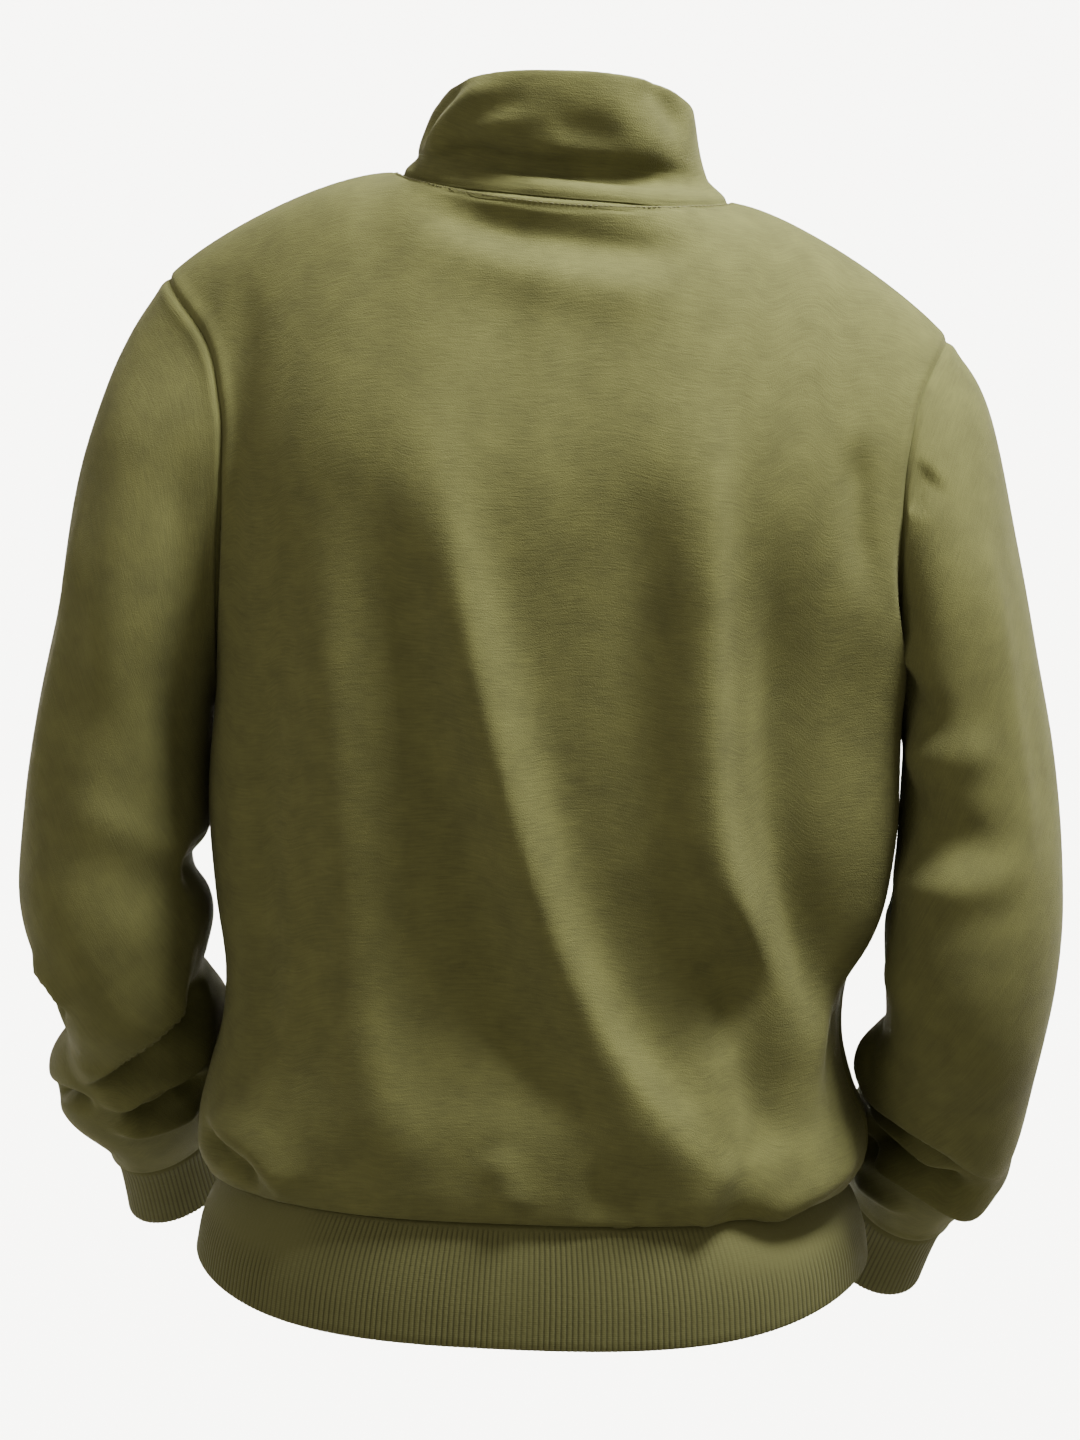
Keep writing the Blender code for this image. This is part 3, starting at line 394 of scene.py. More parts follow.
def cloth(name, outer, outward, thickness, finish, closed=False, keep=None, round_last=False, spots=None):
    """A closed wall of cloth: the outer grid, an inner one a thickness in, and the edges between.
    keep says which of the grid's faces there are. A rounded last row is a folded edge.
    Its UV map "cloth" holds the distances across and along the cloth, in metres."""
    normals = normals_of(outer, outward, closed)
    row_count, column_count = outer.shape[:2]
    spans = column_count if closed else column_count - 1
    if keep is None:
        keep = np.ones((row_count - 1, spans), bool)
    across, up = arc_lengths(outer) if spots is None else spots

    # The rows run up the outer face, over the folded edge if there is one, and down the inner face.
    edge = np.zeros((0, column_count, 3))
    if round_last:
        beyond = outer[-1] - outer[-2]
        beyond /= np.linalg.norm(beyond, axis=1, keepdims=True)
        middle = outer[-1] - normals[-1] * thickness / 2
        edge = np.array([middle + (normals[-1] * np.cos(turn) + beyond * np.sin(turn)) * thickness / 2
                         for turn in np.linspace(0, np.pi, FOLD_STEPS + 1)[1:-1]])
    points = np.concatenate([outer, edge, (outer - normals * thickness)[::-1]])
    shown = np.concatenate([keep, np.repeat(keep[-1:], len(edge) + 1, 0), keep[::-1], keep[:1]])
    heights = np.concatenate([up, np.repeat(up[-1:], len(edge), 0), up[::-1]])
    widths = np.concatenate([across, np.repeat(across[-1:], len(edge), 0), across[::-1]])
    widths = np.concatenate([widths, widths[:, -1:] + widths[:, 1:2] - widths[:, :1]], 1)
    heights = np.concatenate([heights, heights[:, :1]], 1)
    total = len(points)

    def corner(i, j):
        return (i % total) * column_count + j % column_count

    def spot(i, j):
        return np.stack([widths[i % total, j], heights[i % total, j]], -1)

    i, j = np.nonzero(shown)
    faces = [np.stack([corner(i, j), corner(i, j + 1), corner(i + 1, j + 1), corner(i + 1, j)], 1)]
    places = [np.stack([spot(i, j), spot(i, j + 1), spot(i + 1, j + 1), spot(i + 1, j)], 1)]
    rim = keep if closed else np.pad(keep, ((0, 0), (1, 1)))
    ends = np.roll(rim, 1, 1) != rim if closed else rim[:, 1:] != rim[:, :-1]
    i, j = np.nonzero(ends)
    faces.append(np.stack([corner(i, j), corner(i + 1, j), corner(total - 2 - i, j), corner(-1 - i, j)], 1))
    places.append(np.stack([spot(i, j), spot(i + 1, j), spot(i + 1, j), spot(i, j)], 1))
    i, j = np.nonzero(keep[1:] != keep[:-1])
    i = i + 1
    faces.append(np.stack([corner(i, j), corner(i, j + 1), corner(-1 - i, j + 1), corner(-1 - i, j)], 1))
    places.append(np.stack([spot(i, j), spot(i, j + 1), spot(i, j + 1), spot(i, j)], 1))
    faces, places = np.concatenate(faces).tolist(), np.concatenate(places).reshape(-1, 2)
    if round_last and not closed:
        fold = np.arange(row_count - 1, row_count + len(edge) + 1)
        for j in (0, column_count - 1):
            faces.append([int(corner(i, j)) for i in fold])
            places = np.concatenate([places, [spot(i, j) for i in fold]])

    mesh = bpy.data.meshes.new(name)
    mesh.from_pydata(points.reshape(-1, 3).tolist(), [], faces)
    mesh.uv_layers.new(name="cloth").data.foreach_set("uv", places.ravel())
    bm = bmesh.new()
    bm.from_mesh(mesh)
    bmesh.ops.delete(bm, geom=[v for v in bm.verts if not v.link_faces], context="VERTS")
    bmesh.ops.recalc_face_normals(bm, faces=bm.faces)
    bm.to_mesh(mesh)
    bm.free()
    mesh.shade_smooth()
    mesh.materials.append(finish)
    piece = bpy.data.objects.new(name, mesh)
    bpy.context.scene.collection.objects.link(piece)
    return piece


def linear(colour):
    """An sRGB hex colour as the linear colour that Blender's nodes take."""
    parts = [int(colour[k:k + 2], 16) / 255 for k in (1, 3, 5)]
    return [*(p / 12.92 if p < 0.04045 else ((p + 0.055) / 1.055) ** 2.4 for p in parts), 1.0]


def node(tree, kind, settings=None, **links):
    """Adds a node: settings are its own values, links are its inputs, by name, from a socket or a value."""
    made = tree.nodes.new(kind)
    for name, value in (settings or {}).items():
        setattr(made, name, value)
    for name, value in links.items():
        key = int(name[1:]) if name[0] == "_" else name.replace("_", " ")
        if isinstance(value, bpy.types.NodeSocket):
            tree.links.new(value, made.inputs[key])
        else:
            made.inputs[key].default_value = value
    return made


def new_finish(name, **sockets):
    """A material with these values on the sockets of its Principled shader, with its tree and the shader."""
    made = bpy.data.materials.new(name)
    made.use_nodes = True
    principled = made.node_tree.nodes["Principled BSDF"]
    for socket, value in sockets.items():
        principled.inputs[socket.replace("_", " ")].default_value = value
    return made, made.node_tree, principled


# Cotton and polyester fleece, brushed on its face: a matt olive knit, with short fibres that lie mostly
# across the cloth, so that the eye sees faint streaks, small soft blotches and a pale bloom at grazing
# angles. The fibres are finer than a picture shows, so the streaks are drawn 1.2 mm wide.
FLEECE_COLOUR = "#3b3a21"
FLEECE_LIGHT = "#474628"
FLEECE_BLOOM = "#a39c78"
STREAK_WIDE = 0.0012
STREAK_LONG = 0.014
BLOTCH = 0.022
NAP = 0.0007

fleece, tree, shader = new_finish("brushed_olive_fleece", Roughness=0.95, Specular_IOR_Level=0.15,
                                  Sheen_Weight=0.06, Sheen_Roughness=0.45, Sheen_Tint=linear(FLEECE_BLOOM))
on_cloth = node(tree, "ShaderNodeUVMap", {"uv_map": "cloth"})
streak_place = node(tree, "ShaderNodeMapping", Vector=on_cloth.outputs["UV"],
                    Scale=(1 / STREAK_LONG, 1 / STREAK_WIDE, 1))
streak = node(tree, "ShaderNodeTexNoise", Vector=streak_place.outputs["Vector"], Scale=1.0, Detail=3.0,
              Roughness=0.6, Distortion=0.4)
on_piece = node(tree, "ShaderNodeTexCoord")
blotch = node(tree, "ShaderNodeTexNoise", Vector=on_piece.outputs["Object"], Scale=1 / BLOTCH, Detail=4.0,
              Roughness=0.6)
nap = node(tree, "ShaderNodeTexNoise", Vector=on_piece.outputs["Object"], Scale=1 / NAP, Detail=2.0)
both = node(tree, "ShaderNodeMath", {"operation": "ADD"}, _0=streak.outputs["Fac"], _1=blotch.outputs["Fac"])
tone = node(tree, "ShaderNodeMapRange", Value=both.outputs["Value"], From_Min=0.72, From_Max=1.28)
colour = node(tree, "ShaderNodeMix", {"data_type": "RGBA"}, Factor=tone.outputs["Result"])
colour.inputs["A"].default_value = linear(FLEECE_COLOUR)
colour.inputs["B"].default_value = linear(FLEECE_LIGHT)
tree.links.new(colour.outputs["Result"], shader.inputs["Base Color"])
fuzz = node(tree, "ShaderNodeMath", {"operation": "MULTIPLY_ADD"}, _0=streak.outputs["Fac"], _1=0.6,
            _2=nap.outputs["Fac"])
bump = node(tree, "ShaderNodeBump", Strength=0.5, Distance=0.0006, Height=fuzz.outputs["Value"])
tree.links.new(bump.outputs["Normal"], shader.inputs["Normal"])

# The panels' columns and rows, even along the cloth. The front shares them, so they are finer beside its
# slit too, and one row is at the slit's lower end.
ZIP_BOTTOM = -0.262
ZIP_HALF_GAP = 0.006
SLIT_COLUMNS = 2
SLIT_CELLS = (0.0, 0.003, 0.006, 0.0067, 0.0075, 0.0086, 0.0105)
fine = np.linspace(0, 1, 2001)
run = sum(run_along(body(side * fine, height, True)) for side in (1, -1) for height in (0.6, 1.6)) / 4
rest = run[-1] - SLIT_CELLS[-1]
places = np.concatenate([SLIT_CELLS[:-1], SLIT_CELLS[-1] + steps(rest, fine_start=False) * rest])
half_columns = np.interp(places, run, fine)
half_columns[-1] = 1.0
half_columns[np.argmin(np.abs(half_columns - NECK_SHARE))] = NECK_SHARE
columns = np.concatenate([-half_columns[:0:-1], half_columns])
centre = len(half_columns) - 1
neck_first = int(np.argmin(np.abs(columns + NECK_SHARE)))
neck_last = int(np.argmin(np.abs(columns - NECK_SHARE)))

climb = np.linspace(0, 2, 2001)
side_line = body(0.45, climb, True)
rows = read_even(climb, side_line, steps(run_along(side_line)[-1]))
rows[0], rows[-1] = 0.0, 2.0
armpit = int(np.argmin(np.abs(rows - 1.0)))
rows[armpit] = 1.0
middle_heights = body(0.0, climb, False)[:, 2]
slit_row = int(np.argmin(np.abs(np.interp(rows, climb, middle_heights) - ZIP_BOTTOM)))
rows[slit_row] = np.interp(ZIP_BOTTOM, middle_heights, climb)

back_base = body(columns[None, :], rows[:, None], True)
back_out = normals_of(back_base, -1)


def finish_panel(base, out, creases, seed, held=0.0):
    """The panel's grid with its creases, its slack and the dips of its seams. held: 1 where it is still."""
    across, up = arc_lengths(base)
    edge = from_edges(across, up)
    loose = (smooth(edge / STILL) * (1 - held))[..., None]
    moved = crease_lift(base, out, creases) + slack(base, out, SLACK, SLACK_WAVE, seed)
    return base + moved * loose + out * seam_dip(edge)[..., None]


# ================================================================ front panel
# The same fleece in one piece, slit down its middle for the zip. The slit's edges are turned in.
FRONT_CREASES = (
    crease(12.1, 22, 26, (165, -75, -200), (150, -100, -300), (135, -115, -420), (150, -110, -560)),
    crease(13.5, 24, 22, (-60, -115, -290), (-55, -125, -380), (-35, -128, -470), (10, -130, -580)),
    crease(9.5, 18, 22, (-172, -70, -190), (-160, -90, -300), (-150, -100, -420), (-165, -90, -560)),
    crease(-6.8, 20, 22, (-100, -105, -230), (-105, -115, -340), (-90, -120, -470), (-70, -125, -570)),
    crease(-6.8, 22, 24, (85, -110, -260), (80, -122, -380), (85, -125, -500), (70, -125, -590)),
    crease(8.1, 20, 22, (50, -115, -310), (52, -125, -420), (70, -128, -560)),
    # the pull of the armholes
    crease(6.8, 12, 14, (185, -62, -170), (160, -80, -200), (130, -92, -240), sharp=1.9),
    crease(-6.8, 12, 12, (188, -60, -200), (165, -78, -225), (140, -90, -262), sharp=1.9),
    crease(6.8, 12, 14, (-195, -60, -180), (-172, -78, -208), (-145, -92, -250), sharp=1.9),
    crease(-5.4, 12, 12, (-190, -50, -120), (-180, -60, -150), (-178, -65, -190), sharp=1.9),
    # beside the zip and at its lower end
    crease(4.1, 10, 12, (30, -100, -110), (34, -112, -160), (30, -120, -220)),
    crease(4.1, 12, 10, (-36, -105, -130), (-30, -115, -190), (-34, -122, -250)),
    crease(5.4, 8, 10, (10, -125, -272), (24, -126, -300), (30, -128, -350), sharp=1.8),
    crease(5.4, 10, 8, (-8, -125, -275), (-18, -126, -305), (-20, -128, -345), sharp=1.8),
    # where it blouses over the hem band
    crease(10.8, 16, 12, (-186, -68, -572), (-165, -90, -580), (-142, -103, -598), (-130, -106, -607),
           sharp=1.7),
    crease(-12.1, 9, 9, (-190, -58, -584), (-172, -78, -592), (-156, -90, -602), sharp=1.8),
    crease(9.5, 12, 16, (188, -66, -570), (168, -88, -580), (150, -100, -596), (142, -104, -607),
           sharp=1.7),
    crease(5.4, 8, 8, (60, -128, -575), (54, -124, -592), (50, -120, -609), sharp=1.8),
    crease(4.1, 10, 10, (-30, -128, -578), (-26, -124, -594), (-28, -120, -609), sharp=1.8),
)
TURNED_IN = 0.0012
TURN_WIDE = 0.0015
HEM_ROWS = 8
# The ridge below the neck seam: its height, its lower edge, how gently its edges rise, the share of the
# panel's half width over which its ends fade, and how deep and wide the cloth is pulled in by the stitches
# at its lower edge and by the seam.
NECK_RIDGE = 0.0009
NECK_RIDGE_LOW = 0.0045
NECK_RIDGE_EDGE = 0.0012
NECK_RIDGE_END = 0.03
STITCH_PULL, STITCH_PULL_WIDE = 0.0018, 0.0011
NECK_PULL, NECK_PULL_WIDE = 0.0010, 0.0016

# The slit's edges are two columns that stay ZIP_HALF_GAP from the middle on every row. The columns past
# SLIT_SPREAD stay where they are.
SLIT_SPREAD = 0.12
probe = np.linspace(0, 0.15, 301)


def slit_columns(side):
    """One half's columns on each row, moved so that the slit's edge is straight."""
    edge = [np.interp(ZIP_HALF_GAP, np.abs(body(side * probe, rise, False)[:, 0]), probe) for rise in rows]
    known = [0, half_columns[SLIT_COLUMNS], SLIT_SPREAD, 1]
    return np.array([side * np.interp(half_columns, known, [0, at, SLIT_SPREAD, 1]) for at in edge])


front_columns = np.concatenate([slit_columns(-1)[:, :0:-1], slit_columns(1)], 1)
front_base = body(front_columns, rows[:, None], False)
front_out = normals_of(front_base, 1)
slit_first, slit_last = centre - SLIT_COLUMNS, centre + SLIT_COLUMNS

# The back and the front are sewn at the sides and the shoulders, where they share their normals.
for edge in (0, -1):
    same = shared(back_out[:armpit + 1, edge], front_out[:armpit + 1, edge])
    back_out[:armpit + 1, edge] = front_out[:armpit + 1, edge] = same
for stretch in (slice(0, neck_first + 1), slice(neck_last, None)):
    same = shared(back_out[-1, stretch], front_out[-1, stretch])
    back_out[-1, stretch] = front_out[-1, stretch] = same

# At the hem seam they face level outwards, like the top of the band, so that the seam stays shut.
near_hem = np.linspace(1, 0, HEM_ROWS)[:, None, None]
for out in (back_out, front_out):
    level = shared(out[:HEM_ROWS] * (1, 1, 0), 0)
    out[:HEM_ROWS] = shared(level * near_hem, out[:HEM_ROWS] * (1 - near_hem))


def neck_ridge(grid, out):
    """The seam allowance of the neck, stitched down below the seam, raises the cloth over it."""
    up = arc_lengths(grid)[1]
    below = up[-1:] - up
    at_neck = smooth((NECK_SHARE - np.abs(columns)) / NECK_RIDGE_END + 0.5)
    raised = smooth(below / NECK_RIDGE_EDGE) * smooth((NECK_RIDGE_LOW + 0.0008 - below) / NECK_RIDGE_EDGE)
    pulled = STITCH_PULL * np.exp(-((below - NECK_RIDGE_LOW - 0.0006) / STITCH_PULL_WIDE) ** 2)
    pulled += NECK_PULL * np.exp(-(below / NECK_PULL_WIDE) ** 2)
    return out * ((NECK_RIDGE * raised - pulled) * at_neck)[..., None]


beside_slit = np.abs(front_base[..., 0]) - ZIP_HALF_GAP
by_slit = smooth((front_base[..., 2] - ZIP_BOTTOM + 0.004) / 0.004)
by_zip = smooth((0.030 - beside_slit) / 0.022) * smooth((front_base[..., 2] - ZIP_BOTTOM + 0.022) / 0.012)
back_grid = finish_panel(back_base, back_out, BACK_CREASES, 3) + neck_ridge(back_base, back_out)
front_grid = finish_panel(front_base, front_out, FRONT_CREASES, 5, by_zip)
front_grid += neck_ridge(front_base, front_out)
front_grid -= front_out * (TURNED_IN * np.exp(-(beside_slit / TURN_WIDE) ** 2) * by_slit)[..., None]
front_faces = np.ones((len(rows) - 1, len(columns) - 1), bool)
front_faces[slit_row:, slit_first:slit_last] = False

back_panel = cloth("back_panel_cloth", back_grid + (0, SEAM_GAP / 2, 0), -1, FLEECE, fleece)
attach(back_panel, "garment")
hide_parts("back_panel")

front_panel = cloth("front_panel_cloth", front_grid - (0, SEAM_GAP / 2, 0), 1, FLEECE, fleece,
                    keep=front_faces)
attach(front_panel, "garment")
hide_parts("front_panel")

# ================================================================ sleeves
# Each is one piece of the fleece, set into the armhole and sewn along under the arm. It is long, so it
# breaks over the elbow and crumples on the forearm above the cuff.
# out and inn: the sleeve's outer and inner side; depth: half its front-to-back size; y: its middle.
# pitch: degrees that the arm leans forward on its way down.
Arm = namedtuple("Arm", "out_x out_z in_x in_z y depth pitch")
LEFT_ARM = (
    Arm(0.2390, -0.0700, 0.2000, -0.3260, -0.004, 0.0720, 0),
    Arm(0.2610, -0.1060, 0.2030, -0.3380, -0.004, 0.0785, 0),
    Arm(0.2760, -0.1440, 0.2045, -0.3520, -0.004, 0.0805, 0),
    Arm(0.2935, -0.2190, 0.2050, -0.3720, -0.002, 0.0785, 0),
    Arm(0.3010, -0.2780, 0.2047, -0.3950, 0.000, 0.0755, 0),
    Arm(0.3105, -0.3350, 0.2042, -0.4180, 0.003, 0.0735, 0),
    Arm(0.3180, -0.3920, 0.2057, -0.4370, 0.006, 0.0725, 0),
    Arm(0.3210, -0.4460, 0.2017, -0.4620, 0.008, 0.0725, 0),
    Arm(0.3130, -0.4820, 0.2052, -0.4840, 0.006, 0.0725, 4),
    Arm(0.2970, -0.5150, 0.2092, -0.5020, -0.002, 0.0705, 8),
    Arm(0.2910, -0.5380, 0.2042, -0.5140, -0.016, 0.0615, 14),
    Arm(0.3080, -0.5680, 0.1962, -0.5330, -0.034, 0.0605, 20),
    Arm(0.3050, -0.6010, 0.1972, -0.5620, -0.060, 0.0555, 28),
    Arm(0.2850, -0.6290, 0.2042, -0.5960, -0.090, 0.0445, 32),
    Arm(0.2810, -0.6500, 0.2152, -0.6290, -0.112, 0.0325, 32),
)
RIGHT_ARM = (
    Arm(0.2310, -0.0900, 0.2140, -0.3240, -0.004, 0.0720, 0),
    Arm(0.2510, -0.1160, 0.2160, -0.3400, -0.004, 0.0785, 0),
    Arm(0.2650, -0.1530, 0.2160, -0.3560, -0.004, 0.0805, 0),
    Arm(0.2825, -0.2200, 0.2155, -0.3760, -0.002, 0.0785, 0),
    Arm(0.2940, -0.2760, 0.2147, -0.3950, 0.000, 0.0755, 0),
    Arm(0.3055, -0.3300, 0.2137, -0.4120, 0.003, 0.0735, 0),
    Arm(0.3150, -0.3850, 0.2102, -0.4290, 0.006, 0.0725, 0),
    Arm(0.3185, -0.4300, 0.2097, -0.4480, 0.008, 0.0725, 0),
    Arm(0.3160, -0.4700, 0.2127, -0.4780, 0.006, 0.0725, 4),
    Arm(0.3100, -0.5120, 0.2137, -0.5040, -0.002, 0.0705, 8),
    Arm(0.3040, -0.5480, 0.2060, -0.5220, -0.018, 0.0645, 14),
    Arm(0.2980, -0.5820, 0.2075, -0.5440, -0.042, 0.0615, 20),
    Arm(0.2920, -0.6150, 0.1960, -0.5720, -0.070, 0.0555, 28),
    Arm(0.2710, -0.6370, 0.1882, -0.6060, -0.094, 0.0445, 32),
    Arm(0.2550, -0.6620, 0.1927, -0.6420, -0.114, 0.0325, 32),
)
# The armhole's own shape fades over the table's first rows. The sleeve's rows are even along it, but past
# this share of its length one more is put into each gap that is more than FOREARM_STEP of the length.
LEAVE_ARMHOLE = 3.0
FOREARM = 0.66
FOREARM_STEP = 0.004
SLEEVE_SLACK = 0.0008
SLEEVE_WAVE = 0.11
LEFT_SLEEVE_CREASES = (
    # long soft folds down the upper arm
    crease(4, 14, 20, (282, 50, -180), (292, 52, -260), (300, 50, -350), (306, 45, -430)),
    crease(3, 18, 18, (250, 72, -170), (254, 75, -260), (258, 75, -350)),
    crease(-4, 14, 16, (214, 60, -140), (216, 62, -210), (216, 62, -300), (214, 55, -380)),
    # the pinch inside the elbow, and the roll over it
    crease(-10, 12, 13, (212, -60, -440), (204, -30, -432), (205, 6, -427), (210, 32, -426),
           (217, 50, -427)),
    crease(3.5, 14, 18, (206, 30, -410), (216, 50, -410), (236, 72, -402), (260, 76, -390),
           (280, 70, -372)),
    crease(2, 16, 20, (204, 20, -446), (214, 48, -448), (236, 68, -456), (262, 70, -468)),
    # the upper sleeve's edge hangs over the forearm
    crease(13, 24, 5.5, (211, 24, -499), (219, 44, -502), (233, 56, -514), (252, 53, -531), (270, 32, -557),
           (279, 16, -574), sharp=1.5, over=-10),
    crease(-24, 8, 14, (203, -14, -510), (208, 10, -515), (216, 28, -522), (232, 42, -536), (250, 34, -556),
           (266, 20, -576), sharp=1.9),
    crease(-9, 4, 6, (206, 2, -511), (214, 26, -515), (234, 48, -530), (256, 38, -553), (273, 18, -578),
           sharp=1.8),
    # the roll below the hollow, the eye in it, and the next edge
    crease(11, 7.5, 6, (199, -20, -536), (207, -2, -547), (219, 10, -557), (236, 18, -565), (257, 14, -581),
           (270, 8, -588), sharp=1.6, over=-3),
    crease(-12, 5, 5, (222, 4, -568), (226, 6, -570), (236, 11, -575), (247, 10, -582)),
    crease(-16, 6, 7, (206, -26, -573), (221, -8, -581), (238, -4, -592), (258, 3, -594), sharp=1.8),
    crease(8, 7, 8, (212, -40, -588), (228, -26, -597), (248, -16, -603), (268, -10, -602), sharp=1.8),
    # the outer side's notch and break
    crease(-16, 6, 6, (300, -55, -596), (304, -30, -592), (295, -7, -588), (282, 5, -587), (270, 9, -588),
           sharp=1.7),
    crease(6, 4.5, 12, (303, 36, -484), (296, 52, -494), (287, 60, -502), (277, 60, -516), sharp=1.6),
    crease(-7, 7, 7, (300, 28, -500), (292, 44, -512), (284, 50, -522), sharp=1.9),
    # on the front of the arm
    crease(6, 12, 14, (208, -60, -430), (232, -66, -440), (262, -64, -450), (290, -52, -452), sharp=1.9),
    crease(-8, 10, 10, (205, -58, -455), (228, -68, -468), (256, -68, -480), sharp=1.8),
    crease(7, 12, 10, (206, -70, -485), (232, -78, -498), (262, -78, -512), (288, -70, -525), sharp=1.8),
    crease(-7, 10, 10, (204, -85, -515), (230, -92, -532), (262, -94, -550), sharp=1.8),
    crease(6, 9, 9, (208, -105, -552), (232, -112, -566), (262, -114, -585), (286, -105, -600), sharp=1.8),
    crease(4, 16, 16, (226, -76, -170), (250, -80, -230), (272, -72, -310)),
)
RIGHT_SLEEVE_CREASES = (
    crease(4, 18, 14, (-262, 62, -170), (-274, 62, -250), (-286, 58, -340), (-292, 56, -420)),
    crease(-4, 10, 10, (-213, 52, -182), (-221, 62, -166), (-232, 66, -152), sharp=1.9),
    # short pulls at the armhole, with hollows below them
    crease(5, 9, 10, (-208, 30, -262), (-216, 52, -265), (-230, 68, -272), sharp=1.8),
    crease(-5, 14, 12, (-209, 34, -282), (-219, 54, -286), (-232, 64, -298), (-250, 72, -310)),
    crease(4, 14, 14, (-210, 30, -330), (-220, 52, -330), (-238, 70, -326), (-262, 77, -320),
           (-286, 70, -310)),
    crease(-5.5, 18, 16, (-210, 22, -352), (-221, 50, -358), (-240, 66, -366), (-262, 74, -372),
           (-288, 70, -372)),
    # the roll over the elbow
    crease(5, 17, 13, (-208, 0, -404), (-216, 34, -403), (-231, 60, -403), (-257, 77, -399),
           (-284, 73, -390), (-304, 52, -378), over=2),
    crease(-8, 8, 9, (-209, -20, -420), (-212, 10, -420), (-220, 36, -421), sharp=1.8),
    crease(3, 14, 14, (-214, 20, -462), (-224, 44, -470), (-244, 62, -476)),
    # the swell on the inner side, and the forearm's two edges, each over a hollow
    crease(7, 12, 15, (-206, -62, -545), (-204, -36, -538), (-208, -12, -530), (-216, 10, -526)),
    crease(11, 6, 20, (-205, -34, -539), (-210, -20, -542), (-218, 0, -545), (-233, 26, -548),
           (-258, 30, -564), (-282, -5, -592), (-292, -35, -612), sharp=1.5, over=7),
    crease(-19, 8, 7, (-206, -34, -552), (-211, -20, -556), (-220, 0, -559), (-235, 22, -561),
           (-258, 24, -578), (-280, -10, -604), sharp=1.7),
    crease(7, 6, 7, (-204, -44, -569), (-213, -18, -571), (-229, 8, -577), (-246, 10, -588),
           (-262, 0, -602), sharp=1.7),
    crease(-19, 9, 8, (-203, -46, -583), (-209, -30, -585), (-222, -10, -589), (-240, 0, -596),
           (-258, -4, -606), (-276, -22, -618), sharp=1.7),
    crease(12, 7, 10, (-203, -52, -598), (-214, -30, -600), (-232, -12, -606), (-252, -14, -616),
           (-272, -32, -628), (-286, -52, -636), sharp=1.6, over=2),
    crease(-10, 7, 7, (-199, -62, -596), (-206, -40, -600), (-214, -30, -606)),
    crease(4, 8, 8, (-200, -80, -622), (-216, -60, -628), (-238, -50, -634)),
    # on the front of the arm
    crease(6, 14, 12, (-216, -60, -436), (-240, -66, -442), (-268, -64, -446), (-296, -50, -444),
           sharp=1.9),
    crease(-8, 10, 10, (-214, -60, -460), (-238, -68, -470), (-266, -68, -480), sharp=1.8),
    crease(7, 10, 12, (-214, -72, -492), (-242, -80, -504), (-272, -80, -515), (-296, -68, -524),
           sharp=1.8),
    crease(-7, 10, 10, (-210, -90, -525), (-238, -98, -540), (-268, -100, -556), sharp=1.8),
    crease(6, 9, 9, (-204, -112, -566), (-226, -120, -578), (-252, -122, -594), (-276, -112, -608),
           sharp=1.8),
    crease(4, 16, 16, (-234, -76, -180), (-256, -80, -240), (-276, -72, -320)),
)

loop_height = np.sin((rows[armpit:] - 1) * np.pi / 2)
loop_phi = 2 * np.arccos(np.sqrt(np.clip(loop_height, 0, 1)))
phi = np.concatenate([loop_phi[::-1], 2 * np.pi - loop_phi[1:-1]])
even_phi = np.linspace(0, 2 * np.pi, len(phi), endpoint=False)


def loop(back_values, front_values, edge):
    """The back's and the front's values round one armhole, from the tip down the back and up the front."""
    return np.concatenate([back_values[:armpit - 1:-1, edge], front_values[armpit + 1:-1, edge]])


def arm_ring(table, side, t, angle):
    """One elliptical section of a sleeve, at row t of its table."""
    key = np.arange(len(table), dtype=float)
    read = {name: curve(key, np.array([getattr(row, name) for row in table], float), t)
            for name in Arm._fields}
    pitch = np.radians(read["pitch"])
    mid_x, half_x = (read["out_x"] + read["in_x"]) / 2, (read["out_x"] - read["in_x"]) / 2
    mid_z, half_z = (read["out_z"] + read["in_z"]) / 2, (read["out_z"] - read["in_z"]) / 2
    x = side * (mid_x + half_x * np.cos(angle))
    y = read["y"] + read["depth"] * np.cos(pitch) * np.sin(angle)
    z = mid_z + half_z * np.cos(angle) - read["depth"] * np.sin(pitch) * np.sin(angle)
    return np.stack([x, y, z], -1)


def sleeve_base(table, side, start):
    """Rings from the armhole's loop of points to the cuff seam, closer together on the forearm."""
    last = len(table) - 1.0
    climb = np.linspace(0, last, 1401)
    back_line = np.array([arm_ring(table, side, t, np.pi / 2) for t in climb])
    first = arm_ring(table, side, 0.0, phi)
    grid = []
    places = steps(run_along(back_line)[-1])
    between = (places[1:] + places[:-1]) / 2
    added = between[(between > FOREARM) & (np.diff(places) > FOREARM_STEP)]
    places = np.sort(np.concatenate([places, added]))
    for t in read_even(climb, back_line, places):
        fade = smooth(1 - t / LEAVE_ARMHOLE)
        grid.append(arm_ring(table, side, t, even_phi + (phi - even_phi) * fade) + (start - first) * fade)
    return np.array(grid)


